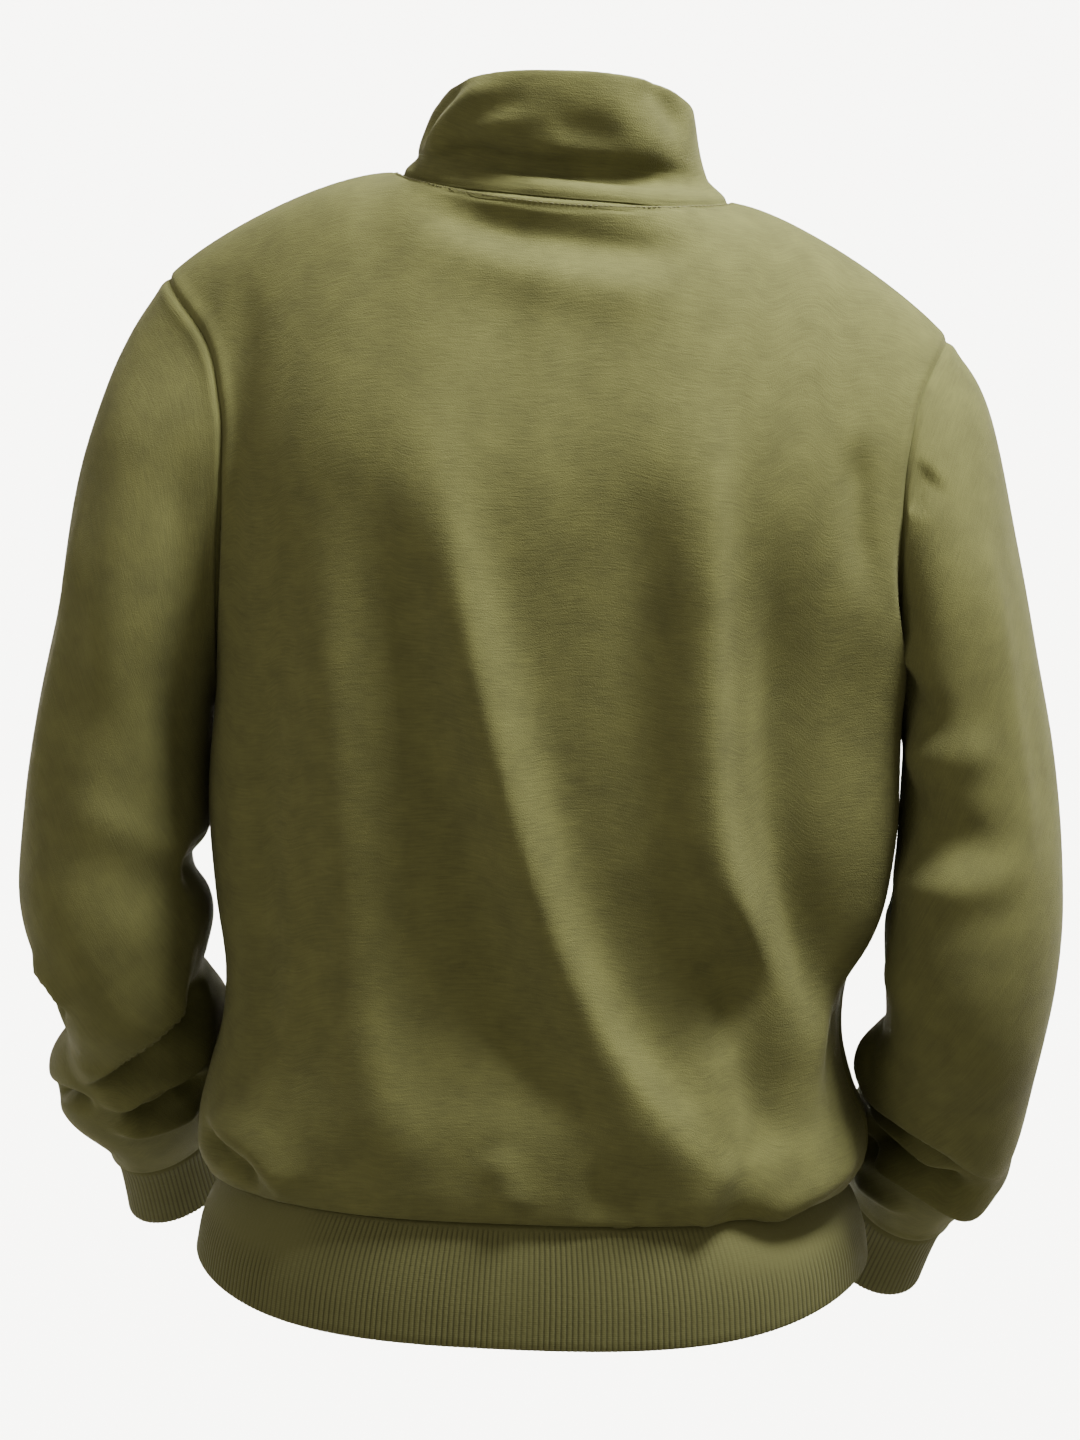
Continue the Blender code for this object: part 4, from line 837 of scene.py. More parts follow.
sleeve_ends = {}
for name, table, side, edge, creases, area in (
        ("left", LEFT_ARM, 1, -1, LEFT_SLEEVE_CREASES, 0.199),
        ("right", RIGHT_ARM, -1, 0, RIGHT_SLEEVE_CREASES, 0.187)):
    base = sleeve_base(table, side, loop(back_base, front_base, edge))
    out = normals_of(base, -side, closed=True)
    out[0] = loop(back_out, front_out, edge)
    out[1:6] = shared(out[1:6], out[0] * np.linspace(0.8, 0.1, 5)[:, None, None])
    across, up = arc_lengths(base)
    edge_far = np.minimum(up, up[-1:] - up)
    loose = smooth(edge_far / STILL)[..., None]
    moved = crease_lift(base, out, creases) + slack(base, out, SLEEVE_SLACK, SLEEVE_WAVE, 7 + side)
    grid = base + moved * loose + out * seam_dip(edge_far)[..., None]
    sleeve = cloth(f"{name}_sleeve_cloth", grid, -side, FLEECE, fleece, closed=True)
    sleeve_ends[name] = base[-1]
    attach(sleeve, "garment")
    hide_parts(f"{name}_sleeve")

# ================================================================ cuffs
# Rib knit in the fleece's colour, folded double into a strip and closed to a tube. Ribs 3 mm apart run
# towards the hand, and draw the sleeve's end in. Some stand up a little more than others, in a slow change
# over UNEVEN_RIBS ribs at a time. RIB_POINTS: the mesh's points across one rib.
RIB = 0.0030
RIB_PITCH = 0.0030
RIB_DEEP = 0.0006
RIB_POINTS = 6
UNEVEN_RIBS = 4
# The rows of a rib tube, from its seam to its fold, closer together at the seam.
RIB_ROWS = np.concatenate([[0.0, 0.012, 0.025, 0.045, 0.07], np.linspace(0.1, 1.0, 13)])
CUFF_LENGTH = 0.062
# The row of the arm's table that the cuff runs on from.
WRIST = 12.0
# along: share of the cuff's length. squeeze: its girth, against the cuff seam.
Cuff = namedtuple("Cuff", "along squeeze")
CUFF = (Cuff(0.0, 1.0), Cuff(0.12, 0.97), Cuff(0.4, 0.96), Cuff(0.7, 0.975), Cuff(1.0, 1.0))

# One-and-one rib knit of the same yarn, a little shinier than the brushed face: rounded ribs of small
# stitches.
# The furrows between the ribs are painted darker, as painted shade. The stitches, 1.3 mm high, are drawn as
# V-shaped rows.
RIB_COLOUR = "#3f3e23"
PAINTED_FURROW_SHADE = "#232212"
STITCH = 0.0013

rib_knit, tree, shader = new_finish("olive_rib_knit", Roughness=0.9, Specular_IOR_Level=0.2,
                                    Sheen_Weight=0.05, Sheen_Roughness=0.5, Sheen_Tint=linear(FLEECE_BLOOM))
on_cloth = node(tree, "ShaderNodeUVMap", {"uv_map": "cloth"})
split = node(tree, "ShaderNodeSeparateXYZ", Vector=on_cloth.outputs["UV"])
ribs = node(tree, "ShaderNodeMath", {"operation": "MULTIPLY"}, _0=split.outputs["X"], _1=math.pi / RIB_PITCH)
wave = node(tree, "ShaderNodeMath", {"operation": "SINE"}, _0=ribs.outputs["Value"])
crest = node(tree, "ShaderNodeMath", {"operation": "ABSOLUTE"}, _0=wave.outputs["Value"])
slant = node(tree, "ShaderNodeMath", {"operation": "MULTIPLY"}, _0=crest.outputs["Value"], _1=1.6)
stitch = node(tree, "ShaderNodeMath", {"operation": "MULTIPLY_ADD"}, _0=split.outputs["Y"],
              _1=2 * math.pi / STITCH, _2=slant.outputs["Value"])
loops = node(tree, "ShaderNodeMath", {"operation": "SINE"}, _0=stitch.outputs["Value"])
on_piece = node(tree, "ShaderNodeTexCoord")
fluff = node(tree, "ShaderNodeTexNoise", Vector=on_piece.outputs["Object"], Scale=450.0, Detail=3.0)
patch = node(tree, "ShaderNodeTexNoise", Vector=on_piece.outputs["Object"], Scale=40.0, Detail=3.0)
# Painted shade: the colour darkens into the furrows between the ribs, less where the ribs are flat, with
# random patches.
flatness = node(tree, "ShaderNodeAttribute", {"attribute_name": "ribbed"})
flat = node(tree, "ShaderNodeMath", {"operation": "SUBTRACT"}, _0=1.0, _1=flatness.outputs["Fac"])
height = node(tree, "ShaderNodeMath", {"operation": "MAXIMUM"}, _0=crest.outputs["Value"],
              _1=flat.outputs["Value"])
tone = node(tree, "ShaderNodeMapRange", Value=height.outputs["Value"], From_Min=0.05, From_Max=0.75,
            To_Min=0.0, To_Max=0.85)
furrow_shade_and_patches = node(tree, "ShaderNodeMath", {"operation": "MULTIPLY_ADD"}, _0=patch.outputs["Fac"], _1=0.35,
           _2=tone.outputs["Result"])
colour = node(tree, "ShaderNodeMix", {"data_type": "RGBA"}, Factor=furrow_shade_and_patches.outputs["Value"])
colour.inputs["A"].default_value = linear(PAINTED_FURROW_SHADE)
colour.inputs["B"].default_value = linear(RIB_COLOUR)
tree.links.new(colour.outputs["Result"], shader.inputs["Base Color"])
knit = node(tree, "ShaderNodeMath", {"operation": "MULTIPLY_ADD"}, _0=loops.outputs["Value"], _1=0.10,
            _2=fluff.outputs["Fac"])
bump = node(tree, "ShaderNodeBump", Strength=0.5, Distance=0.0005, Height=knit.outputs["Value"])
tree.links.new(bump.outputs["Normal"], shader.inputs["Normal"])


def rib_ring(points):
    """The closed ring of points again, evenly, with RIB_POINTS points for each rib."""
    closed = np.concatenate([points, points[:1]])
    run = run_along(closed)
    count = round(run[-1] / RIB_PITCH) * RIB_POINTS
    at = np.arange(count) / count * run[-1]
    return np.stack([np.interp(at, run, closed[:, k]) for k in range(3)], 1)


def rib_wall(name, base, outward, depth, from_seam):
    """A rib knit tube through the rings of base. depth: the ribs' height at each point."""
    out = normals_of(base, outward, closed=True)
    count = base.shape[1]
    phase = np.arange(count) % RIB_POINTS / RIB_POINTS
    crest = np.abs(np.sin(np.pi * phase)) ** 0.55 - 0.75
    stand = np.random.default_rng(19).uniform(0.6, 1.0, count // (UNEVEN_RIBS * RIB_POINTS))
    depth = depth * np.interp(np.linspace(0, len(stand), count), np.arange(len(stand) + 1),
                              np.append(stand, stand[0]))
    lift = crest[None, :] * depth - SEAM_DIP * np.exp(-(from_seam / SEAM_DIP_WIDE) ** 2)
    spots = (np.broadcast_to(np.arange(count) * RIB_PITCH / RIB_POINTS, base.shape[:2]), from_seam)
    wall = cloth(name, base + out * lift[..., None], outward, RIB, rib_knit, closed=True, round_last=True,
                 spots=spots)
    folded = len(wall.data.vertices) // count - 2 * len(base)
    ribbed = np.concatenate([depth, np.repeat(depth[-1:], folded, 0), depth[::-1]]) / RIB_DEEP
    # The ribs' depth as a share of RIB_DEEP. The rib knit's material reads it to fade its painted furrow
    # shade.
    wall.data.attributes.new("ribbed", "FLOAT", "POINT").data.foreach_set("value", ribbed.ravel())
    return wall


for name, table, side in (("left", LEFT_ARM, 1), ("right", RIGHT_ARM, -1)):
    ring = rib_ring(sleeve_ends[name])
    middle = sleeve_ends[name].mean(0)
    heading = middle - arm_ring(table, side, WRIST, even_phi).mean(0)
    heading = heading / np.linalg.norm(heading)
    base = np.array([middle + (ring - middle) * along(CUFF, "squeeze", share)
                     + heading * (CUFF_LENGTH - RIB / 2) * share for share in RIB_ROWS])
    from_seam = np.broadcast_to((RIB_ROWS * CUFF_LENGTH)[:, None], base.shape[:2])
    depth = RIB_DEEP * smooth((from_seam - 0.001) / 0.005)
    cuff = rib_wall(f"{name}_cuff_rib", base + heading * SEAM_GAP, -side, depth, from_seam)
    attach(cuff, "garment")
    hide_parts(f"{name}_cuff")

# ================================================================ hem band
# The same rib knit, folded double and closed to a tube, sewn to the lower edge of the body. It spreads
# towards its lower edge, and its ribs flatten where it is stretched round the hips.
BAND_HEIGHT = 0.0755
BAND_SIDE_RISE = 0.015
BAND_DEPTH_SPREAD = 0.6
HEM_OVERLAP = 0.0004
# drop: share of the hem band's height. spread: how far it stands out, against the hem seam.
Band = namedtuple("Band", "drop spread")
BAND = (Band(0.0, 1.0), Band(0.12, 1.03), Band(0.35, 1.08), Band(0.65, 1.12), Band(1.0, 1.14))

hem_ring = rib_ring(np.concatenate([back_base[0], front_base[0, -2:0:-1]]))
side_share = np.abs(hem_ring[:, 0] / TORSO[0].left)
band_height = BAND_HEIGHT - BAND_SIDE_RISE * side_share ** 5 - RIB / 2
spreads = along(BAND, "spread", RIB_ROWS)
base = np.array([hem_ring * (spread, 1 - BAND_DEPTH_SPREAD + BAND_DEPTH_SPREAD * spread, 1)
                 - np.outer(band_height * drop, (0, 0, 1)) for drop, spread in zip(RIB_ROWS, spreads)])
from_seam = RIB_ROWS[:, None] * band_height
flat_sides = 1 - 0.9 * smooth((side_share - 0.5) / 0.3)[None, :] * smooth((0.72 - RIB_ROWS) / 0.4)[:, None]
depth = RIB_DEEP * smooth((from_seam - 0.001) / 0.006) * flat_sides
hem_band = rib_wall("hem_band_rib", base + (0, 0, HEM_OVERLAP), 1, depth, from_seam)
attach(hem_band, "garment")
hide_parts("hem_band")

# ================================================================ collar
# A stand collar of the fleece, folded double at the rim and sewn round the neck. It slumps at the back
# into a roll over its base, and its left side creases where it turns forward.
COLLAR_CLOTH = 0.0036
# rise: 0 at the neck seam, 1 at the rim. lift: share of the height from the seam to the rim.
# shift: how far the back of the ring stands towards the wearer's left.
Collar = namedtuple("Collar", "rise half back front lift shift")
COLLAR = (
    Collar(0.00, 0.0980, 0.0720, 0.0980, 0.00, 0.0000),
    Collar(0.10, 0.0920, 0.0675, 0.0945, 0.12, 0.0015),
    Collar(0.20, 0.0870, 0.0620, 0.0915, 0.22, 0.0030),
    Collar(0.34, 0.0850, 0.0665, 0.0895, 0.35, 0.0050),
    Collar(0.60, 0.0815, 0.0700, 0.0865, 0.61, 0.0050),
    Collar(0.84, 0.0780, 0.0710, 0.0840, 0.86, 0.0030),
    Collar(1.00, 0.0750, 0.0700, 0.0825, 1.00, 0.0010),
)
RIM_BACK = 0.068
RIM_DROP = 0.030
RIM_TILT = 0.050
COLLAR_STILL = 0.008
COLLAR_SLACK = 0.0006
COLLAR_WAVE = 0.05
COLLAR_CREASES = (
    # the left side's two ridges, from the shoulder up towards the rim, each over a hollow
    crease(5, 10, 7, (82, 20, 6), (76, 33, 17), (68, 43, 29), (58, 50, 40), (48, 55, 49), (37, 58, 55),
           (22, 62, 61), sharp=1.7, over=-2),
    crease(-4.5, 7, 7, (84, 15, 15), (79, 25, 27), (73, 29, 39), (63, 41, 50), (50, 49, 60), sharp=1.9),
    crease(-3, 7, 7, (70, 42, 16), (56, 53, 29), (45, 59, 39), (33, 63, 46), (12, 66, 52), sharp=1.9),
    crease(3.5, 7, 8, (78, 32, 10), (70, 40, 17), (58, 51, 25), (47, 58, 32), (34, 63, 38), (18, 67, 41),
           (-6, 68, 43), sharp=1.8),
    # the deep fold over the base
    crease(-6, 4.2, 11.5, (80, 20, 19), (66, 42, 18), (48, 53, 16), (30, 59, 13), (-3, 62, 9), (-38, 56, 6),
           (-62, 42, 3), (-84, 17, -1), (-94, -10, -4), sharp=1.8),
    crease(1.8, 10, 10, (52, 55, 24), (26, 64, 22), (-3, 67, 21), (-34, 60, 19), (-64, 44, 14)),
    # the right side's ridge, with a hollow on either hand
    crease(2.8, 16, 12, (-18, 62, 64), (-26, 60, 56), (-37, 58, 44), (-48, 53, 32), (-60, 44, 22),
           (-76, 26, 10)),
    crease(-1.8, 10, 8, (4, 68, 36), (-12, 67, 36), (-26, 63, 32), (-42, 56, 24)),
    crease(-4, 10, 10, (-46, 48, 66), (-54, 43, 56), (-64, 36, 44), (-74, 24, 30)),
    # on the front halves
    crease(4, 9, 9, (84, -20, -30), (66, -56, -20), (40, -78, -5), sharp=1.8),
    crease(-4, 8, 8, (86, -10, -12), (70, -50, -2), (46, -74, 14), sharp=1.8),
    crease(4, 9, 9, (-85, -20, -34), (-68, -55, -28), (-40, -78, -16), sharp=1.8),
)


def collar_point(rise, psi):
    """The collar's outer face, between the neck seam and the rim."""
    c = np.cos(psi)
    seam = neck(psi)
    rim_z = RIM_BACK - RIM_DROP * (1 - c) ** 1.2 - RIM_TILT * NECK_HALF * np.sin(psi)
    x = along(COLLAR, "half", rise) * np.sin(psi) + along(COLLAR, "shift", rise) * (1 + c) / 2
    y = np.where(c > 0, along(COLLAR, "back", rise), along(COLLAR, "front", rise)) * c
    z = seam[..., 2] + (rim_z - seam[..., 2]) * along(COLLAR, "lift", rise)
    return lean(np.stack([x, y, z], -1))


climb = np.linspace(0, 1, 501)
side_line = collar_point(climb, 0.3)
rises = read_even(climb, side_line, steps(run_along(side_line)[-1], fine_end=False))
rises[0], rises[-1] = 0.0, 1.0
back_psi = columns[neck_first:neck_last + 1] / NECK_SHARE * np.pi / 2
front_side = front_columns[-1, slit_last:neck_last]
front_psi = (np.pi - front_side / NECK_SHARE * np.pi / 2)[::-1]
psi = np.concatenate([-front_psi[::-1], back_psi, front_psi])
end_psi = np.pi - np.arcsin(ZIP_HALF_GAP / along(COLLAR, "half", rises))[:, None]
grow = (end_psi - np.pi / 2) / (front_psi[-1] - np.pi / 2)
psi_grid = np.where(np.abs(psi) > np.pi / 2, np.sign(psi) * (np.pi / 2 + (np.abs(psi) - np.pi / 2) * grow),
                    psi)
collar_base = collar_point(rises[:, None], psi_grid)
collar_out = normals_of(collar_base, -1)
top_back, top_front = back_out[-1], front_out[-1]
collar_out[0] = np.concatenate([
    top_front[neck_first + 1:slit_first + 1][::-1], top_back[neck_first:neck_last + 1],
    top_front[slit_last:neck_last][::-1]])
across, up = arc_lengths(collar_base)
loose = smooth(up / COLLAR_STILL)[..., None]
moved = crease_lift(collar_base, collar_out, COLLAR_CREASES)
moved += slack(collar_base, collar_out, COLLAR_SLACK, COLLAR_WAVE, 11)
dip = -SEAM_DIP * np.exp(-(up / SEAM_DIP_WIDE) ** 2)
from_zip = np.minimum(across, across[:, -1:] - across)
dip -= TURNED_IN * np.exp(-(from_zip / TURN_WIDE) ** 2) * smooth(up / 0.006)
collar_grid = collar_base + moved * loose * smooth(from_zip / STILL)[..., None] + collar_out * dip[..., None]
collar = cloth("collar_cloth", collar_grid, -1, COLLAR_CLOTH, fleece, round_last=True)
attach(collar, "garment")
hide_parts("collar")

# ================================================================ zip tapes
# Two strips of woven tape behind the edges of the slit and of the collar, sewn to their inner face. Each
# carries one row of the coil on its inner edge.
TAPE_THICK = 0.0006
# Across the tape: where the CAD tape's depth is read, and the columns of the woven one.
TAPE_LINES = (0.0033, 0.00865, 0.0140)
TAPE_ACROSS = (0.0004, 0.0033, 0.0060, 0.00865, 0.0115, 0.0140)
TAPE_CELL = 0.003


def strip_line(name, x):
    """The outer face of a CAD strip of the zip, at x across: its points from the lower end up."""
    spots = {tuple(round(c, 5) for c in v.co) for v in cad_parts[name].data.vertices
             if abs(v.co.x - x) < 2e-5}
    spots = sorted(spots, key=lambda p: p[2])
    return np.array([min(pair, key=lambda p: p[1]) for pair in zip(spots[::2], spots[1::2])])


# Plain weave of fine polyester: a flat, slightly shiny olive tape with a close grid of threads. They are
# drawn 0.5 mm apart, about twice their size.
TAPE_COLOUR = "#3f3b22"
THREAD = 0.0005

woven_tape, tree, shader = new_finish("olive_woven_tape", Base_Color=linear(TAPE_COLOUR), Roughness=0.7,
                                      Specular_IOR_Level=0.35)
on_cloth = node(tree, "ShaderNodeUVMap", {"uv_map": "cloth"})
split = node(tree, "ShaderNodeSeparateXYZ", Vector=on_cloth.outputs["UV"])
over = [node(tree, "ShaderNodeMath", {"operation": "MULTIPLY"}, _0=split.outputs[way],
             _1=2 * math.pi / THREAD) for way in ("X", "Y")]
waves = [node(tree, "ShaderNodeMath", {"operation": "SINE"}, _0=one.outputs["Value"]) for one in over]
weave = node(tree, "ShaderNodeMath", {"operation": "MULTIPLY"}, _0=waves[0].outputs["Value"],
             _1=waves[1].outputs["Value"])
bump = node(tree, "ShaderNodeBump", Strength=0.5, Distance=0.0002, Height=weave.outputs["Value"])
tree.links.new(bump.outputs["Normal"], shader.inputs["Normal"])

for name, side in (("left", 1), ("right", -1)):
    lines = [strip_line(f"{name}_zip_tape", side * x) for x in TAPE_LINES]
    low, high = lines[0][0, 2], lines[0][-1, 2]
    heights = np.linspace(low, high, round((high - low) / TAPE_CELL))
    depths = np.array([curve(line[:, 2], line[:, 1], heights) for line in lines])
    grid = np.array([[(side * x, np.interp(x, TAPE_LINES, depths[:, k]), z)
                      for x in TAPE_ACROSS] for k, z in enumerate(heights)])
    tape = cloth(f"{name}_zip_tape_woven", grid, side, TAPE_THICK, woven_tape)
    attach(tape, "garment")
    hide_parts(f"{name}_zip_tape")

# ================================================================ zip coil
# Nylon coils, 6 mm wide when closed. Each turn shows as a short rounded bar across its own tape, and the
# left and right bars mesh in the middle. They are 1.27 mm apart on each side.
COIL_HALF = 0.0030
COIL_THICK = 0.0018
COIL_PITCH = 0.00127
BAR_LONG = 0.0040
BAR_HIGH = 0.00060
FIRST_BAR = 0.0004
COIL_COLOUR = "#37331d"

# Dyed nylon monofilament: smooth and dark olive, with small clean highlights.
nylon = new_finish("olive_nylon_coil", Base_Color=linear(COIL_COLOUR), Roughness=0.38)[0]

coil_line = strip_line("zip_coil", 0.0)


def zip_place(z):
    """The middle of the coil at height z, and the way up along it and out of it."""
    y = curve(coil_line[:, 2], coil_line[:, 1], z)
    up = Vector((0, float(curve(coil_line[:, 2], coil_line[:, 1], z + 0.001) - y), 0.001)).normalized()
    out = Vector((0, -up.z, up.y))
    return Vector((0, float(y), z)) - out * (COIL_THICK / 2), up, out


def copies(name, pattern, spots, finish):
    """A copy of the pattern at each spot, which is a matrix, joined to one piece. The pattern goes."""
    made = []
    for spot in spots:
        one = pattern.copy()
        one.data = pattern.data.copy()
        one.data.transform(spot)
        bpy.context.scene.collection.objects.link(one)
        made.append(one)
    bpy.data.objects.remove(pattern, do_unlink=True)
    bpy.ops.object.select_all(action="DESELECT")
    for one in made:
        one.select_set(True)
    bpy.context.view_layer.objects.active = made[0]
    bpy.ops.object.join()
    made[0].name = made[0].data.name = name
    made[0].data.materials.append(finish)
    return made[0]


def slab(name, low, high, finish=None):
    """A box between two corners, as a new object."""
    bpy.ops.object.select_all(action="DESELECT")
    low, high = Vector(low), Vector(high)
    bpy.ops.mesh.primitive_cube_add(size=1, location=(low + high) / 2)
    made = bpy.context.object
    made.name = made.data.name = name
    made.scale = high - low
    bpy.ops.object.transform_apply(location=True, rotation=True, scale=True)
    if finish:
        made.data.materials.append(finish)
    return made


def soften(piece, width, cuts=2):
    """Rounds all the sharp edges of a hard piece."""
    bpy.context.view_layer.objects.active = piece
    step = piece.modifiers.new("soft edges", "BEVEL")
    step.width, step.segments, step.limit_method, step.angle_limit = width, cuts, "ANGLE", math.radians(35)
    bpy.ops.object.modifier_apply(modifier=step.name)


def round_corners(piece, axis, width, cuts, which=lambda middle: True):
    """Rounds the edges that run along one axis, in edit mode."""
    bpy.context.view_layer.objects.active = piece
    bpy.ops.object.mode_set(mode="EDIT")
    bpy.ops.mesh.select_mode(type="EDGE")
    bpy.ops.mesh.select_all(action="DESELECT")
    bm = bmesh.from_edit_mesh(piece.data)
    for edge in bm.edges:
        a, b = (v.co for v in edge.verts)
        edge.select = abs((b - a).normalized()[axis]) > 0.9 and which((a + b) / 2)
    bmesh.update_edit_mesh(piece.data)
    bpy.ops.mesh.bevel(offset=width, segments=cuts, affect="EDGES")
    bpy.ops.object.mode_set(mode="OBJECT")


bar = slab("coil_bar", (-BAR_LONG / 2, -COIL_THICK / 2, -BAR_HIGH / 2),
           (BAR_LONG / 2, COIL_THICK / 2, BAR_HIGH / 2))
soften(bar, BAR_HIGH * 0.38, 1)
bar.data.shade_smooth()
spots = []
low, high = coil_line[0, 2], coil_line[-1, 2]
for count in range(int((high - low) / COIL_PITCH * 2)):
    place, up, out = zip_place(low + FIRST_BAR + count * COIL_PITCH / 2)
    side = 1 if count % 2 else -1
    turn = Matrix((Vector((1, 0, 0)), -out, up)).transposed().to_4x4()
    spots.append(Matrix.Translation(place + Vector((side * (COIL_HALF - BAR_LONG / 2), 0, 0))) @ turn)
coil = copies("zip_coil_bars", bar, spots, nylon)
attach(coil, "garment")
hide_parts("zip_coil")

# ================================================================ bottom stop, slider and pull tab
# Zinc castings, plated in antique brass. The stop is clamped over both coils. The slider is two plates
# on a neck, with an arched bridge in front, from which the pull tab hangs by its eye.
STOP_HALF = 0.0030
STOP_HIGH = 0.0025
SLIDER_Z = 0.0060
SLIDER_X = 0.0045
PLATE_INNER = 0.0012
PLATE_OUTER = 0.0026
BRIDGE_HALF = 0.0012
BRIDGE_OUT = 0.0030
BRIDGE_WALL = 0.0010
BRIDGE_Z = 0.0034
SLIDER_PLACE = (0, -0.08038, -0.01497)
SLIDER_TILT = -0.1407
PULL_BAR = 0.0012
PULL_HALF = 0.0035
PULL_LENGTH = 0.0260
PULL_EYE_HALF = 0.0018
PULL_EYE = 0.0052
PULL_GRIP = 0.00022
METAL_GAP = 0.0003
NECK_BAR_HALF = 0.0012
PLATE_CORNER = 0.0018
PLATE_TAPER = 0.80
TAB_TAPER = 0.88

# Antique brass plating on zinc: a brown, half-matt metal, brighter where hands rub it and darker in its
# hollows, with faint fine scratches.
BRASS = "#8d7446"
BRASS_DARK = "#4d3c20"

brass, tree, shader = new_finish("antique_brass_plated_zinc", Metallic=1.0, Roughness=0.36)
on_piece = node(tree, "ShaderNodeTexCoord")
stain = node(tree, "ShaderNodeTexNoise", Vector=on_piece.outputs["Object"], Scale=420.0, Detail=4.0)
edges = node(tree, "ShaderNodeNewGeometry")
rubbed = node(tree, "ShaderNodeMath", {"operation": "MULTIPLY_ADD"}, _0=stain.outputs["Fac"], _1=0.8,
              _2=edges.outputs["Pointiness"])
tone = node(tree, "ShaderNodeMapRange", Value=rubbed.outputs["Value"], From_Min=0.72, From_Max=1.06)
colour = node(tree, "ShaderNodeMix", {"data_type": "RGBA"}, Factor=tone.outputs["Result"])
colour.inputs["A"].default_value = linear(BRASS_DARK)
colour.inputs["B"].default_value = linear(BRASS)
tree.links.new(colour.outputs["Result"], shader.inputs["Base Color"])
bump = node(tree, "ShaderNodeBump", Strength=0.15, Distance=0.0001, Height=stain.outputs["Fac"])
tree.links.new(bump.outputs["Normal"], shader.inputs["Normal"])


def combine(piece, tool, operation="DIFFERENCE"):
    """Adds a tool to a piece, or cuts it away, and removes the tool."""
    step = piece.modifiers.new("combine", "BOOLEAN")
    step.operation, step.object, step.solver = operation, tool, "EXACT"
    bpy.context.view_layer.objects.active = piece
    bpy.ops.object.modifier_apply(modifier=step.name)
    bpy.data.objects.remove(tool, do_unlink=True)


def finish_metal(piece, place, width):
    """Softens a casting's edges and moves it to its place on the zip."""
    soften(piece, width)
    piece.data.transform(place)
    bpy.ops.object.select_all(action="DESELECT")
    piece.select_set(True)
    bpy.context.view_layer.objects.active = piece
    bpy.ops.object.shade_smooth_by_angle(angle=math.radians(40))


stop_z = ZIP_BOTTOM + 0.0008 + STOP_HIGH / 2
place, up, out = zip_place(stop_z)
turn = Matrix((Vector((1, 0, 0)), -out, up)).transposed().to_4x4()
stop = slab("zip_bottom_stop_clamp", (-STOP_HALF, -COIL_THICK / 2, -STOP_HIGH / 2),
            (STOP_HALF, COIL_THICK / 2, STOP_HIGH / 2), brass)
round_corners(stop, 1, 0.0007, 3)
finish_metal(stop, Matrix.Translation(place) @ turn, 0.0002)
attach(stop, "garment")
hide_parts("zip_bottom_stop")

on_zip = Matrix.Translation(SLIDER_PLACE) @ Matrix.Rotation(SLIDER_TILT, 4, "X")
slider = slab("zip_slider_body", (-SLIDER_X, -PLATE_OUTER, -SLIDER_Z),
              (SLIDER_X, -PLATE_INNER, SLIDER_Z), brass)
back_plate = slab("back_plate", (-SLIDER_X, PLATE_INNER, -SLIDER_Z), (SLIDER_X, PLATE_OUTER, SLIDER_Z))
for plate in (slider, back_plate):
    for v in plate.data.vertices:
        if v.co.z < 0:
            v.co.x *= PLATE_TAPER
    round_corners(plate, 1, PLATE_CORNER, 4)
bridge = slab("bridge", (-BRIDGE_HALF, -PLATE_OUTER - BRIDGE_OUT, -BRIDGE_Z),
              (BRIDGE_HALF, -PLATE_INNER - METAL_GAP, BRIDGE_Z))
round_corners(bridge, 0, PLATE_CORNER, 4, lambda middle: middle.y < -PLATE_OUTER)
hole = slab("bridge_hole", (-0.01, -PLATE_OUTER - BRIDGE_OUT + BRIDGE_WALL, -BRIDGE_Z + BRIDGE_WALL),
            (0.01, -PLATE_OUTER, BRIDGE_Z - BRIDGE_WALL))
round_corners(hole, 0, 0.0009, 3, lambda middle: middle.y < -PLATE_OUTER - 0.001)
neck_bar = slab("neck_bar", (-NECK_BAR_HALF, -PLATE_OUTER + 0.0004, SLIDER_Z - 0.0026),
                (NECK_BAR_HALF, PLATE_OUTER - 0.0004, SLIDER_Z - METAL_GAP))
combine(slider, back_plate, "UNION")
combine(slider, neck_bar, "UNION")
combine(slider, bridge, "UNION")
combine(slider, hole)
finish_metal(slider, on_zip, 0.00018)
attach(slider, "garment")
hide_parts("zip_slider")

# The pull tab hangs by its upper bar, which lies low in the bridge.
hang = Matrix.Translation((0, -PLATE_OUTER - (BRIDGE_OUT - BRIDGE_WALL) / 2,
                           -BRIDGE_Z + BRIDGE_WALL + METAL_GAP + PULL_BAR / 2))
tab = slab("pull_tab_plate", (-PULL_HALF, -PULL_BAR / 2, PULL_BAR / 2 - PULL_LENGTH),
           (PULL_HALF, PULL_BAR / 2, PULL_BAR / 2), brass)
for v in tab.data.vertices:
    if v.co.z > -0.01:
        v.co.x *= TAB_TAPER
round_corners(tab, 1, 0.0026, 6, lambda middle: middle.z < -0.01)
round_corners(tab, 1, 0.0012, 4, lambda middle: middle.z > -0.0005)
eye = slab("eye", (-PULL_EYE_HALF, -PULL_BAR, -PULL_BAR / 2 - PULL_EYE),
           (PULL_EYE_HALF, PULL_BAR, -PULL_BAR / 2))
round_corners(eye, 1, 0.0008, 3)
combine(tab, eye)
for way in (-1, 1):
    face = way * PULL_BAR / 2
    grip = slab("grip", (-PULL_HALF + 0.0011, face - PULL_GRIP, PULL_BAR / 2 - PULL_LENGTH + 0.0014),
                (PULL_HALF - 0.0011, face + PULL_GRIP, -PULL_BAR / 2 - PULL_EYE - 0.0016))
    round_corners(grip, 1, 0.0017, 5)
    combine(tab, grip)
finish_metal(tab, on_zip @ hang, 0.00016)
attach(tab, "pull_tab")
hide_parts("pull_tab")

# ================================================================ stitching
# Lockstitch in matching thread, 3.2 mm a stitch: one row below the neck seam, which holds the seam's
# allowance down, and one along each side of the zip, through the cloth and the tape.
STITCH_PITCH = 0.0032
STITCH_LONG = 0.0026
STITCH_THICK = 0.00045
NECK_ROW = 0.0053
ZIP_ROW = 0.0050
THREAD_COLOUR = "#48432a"

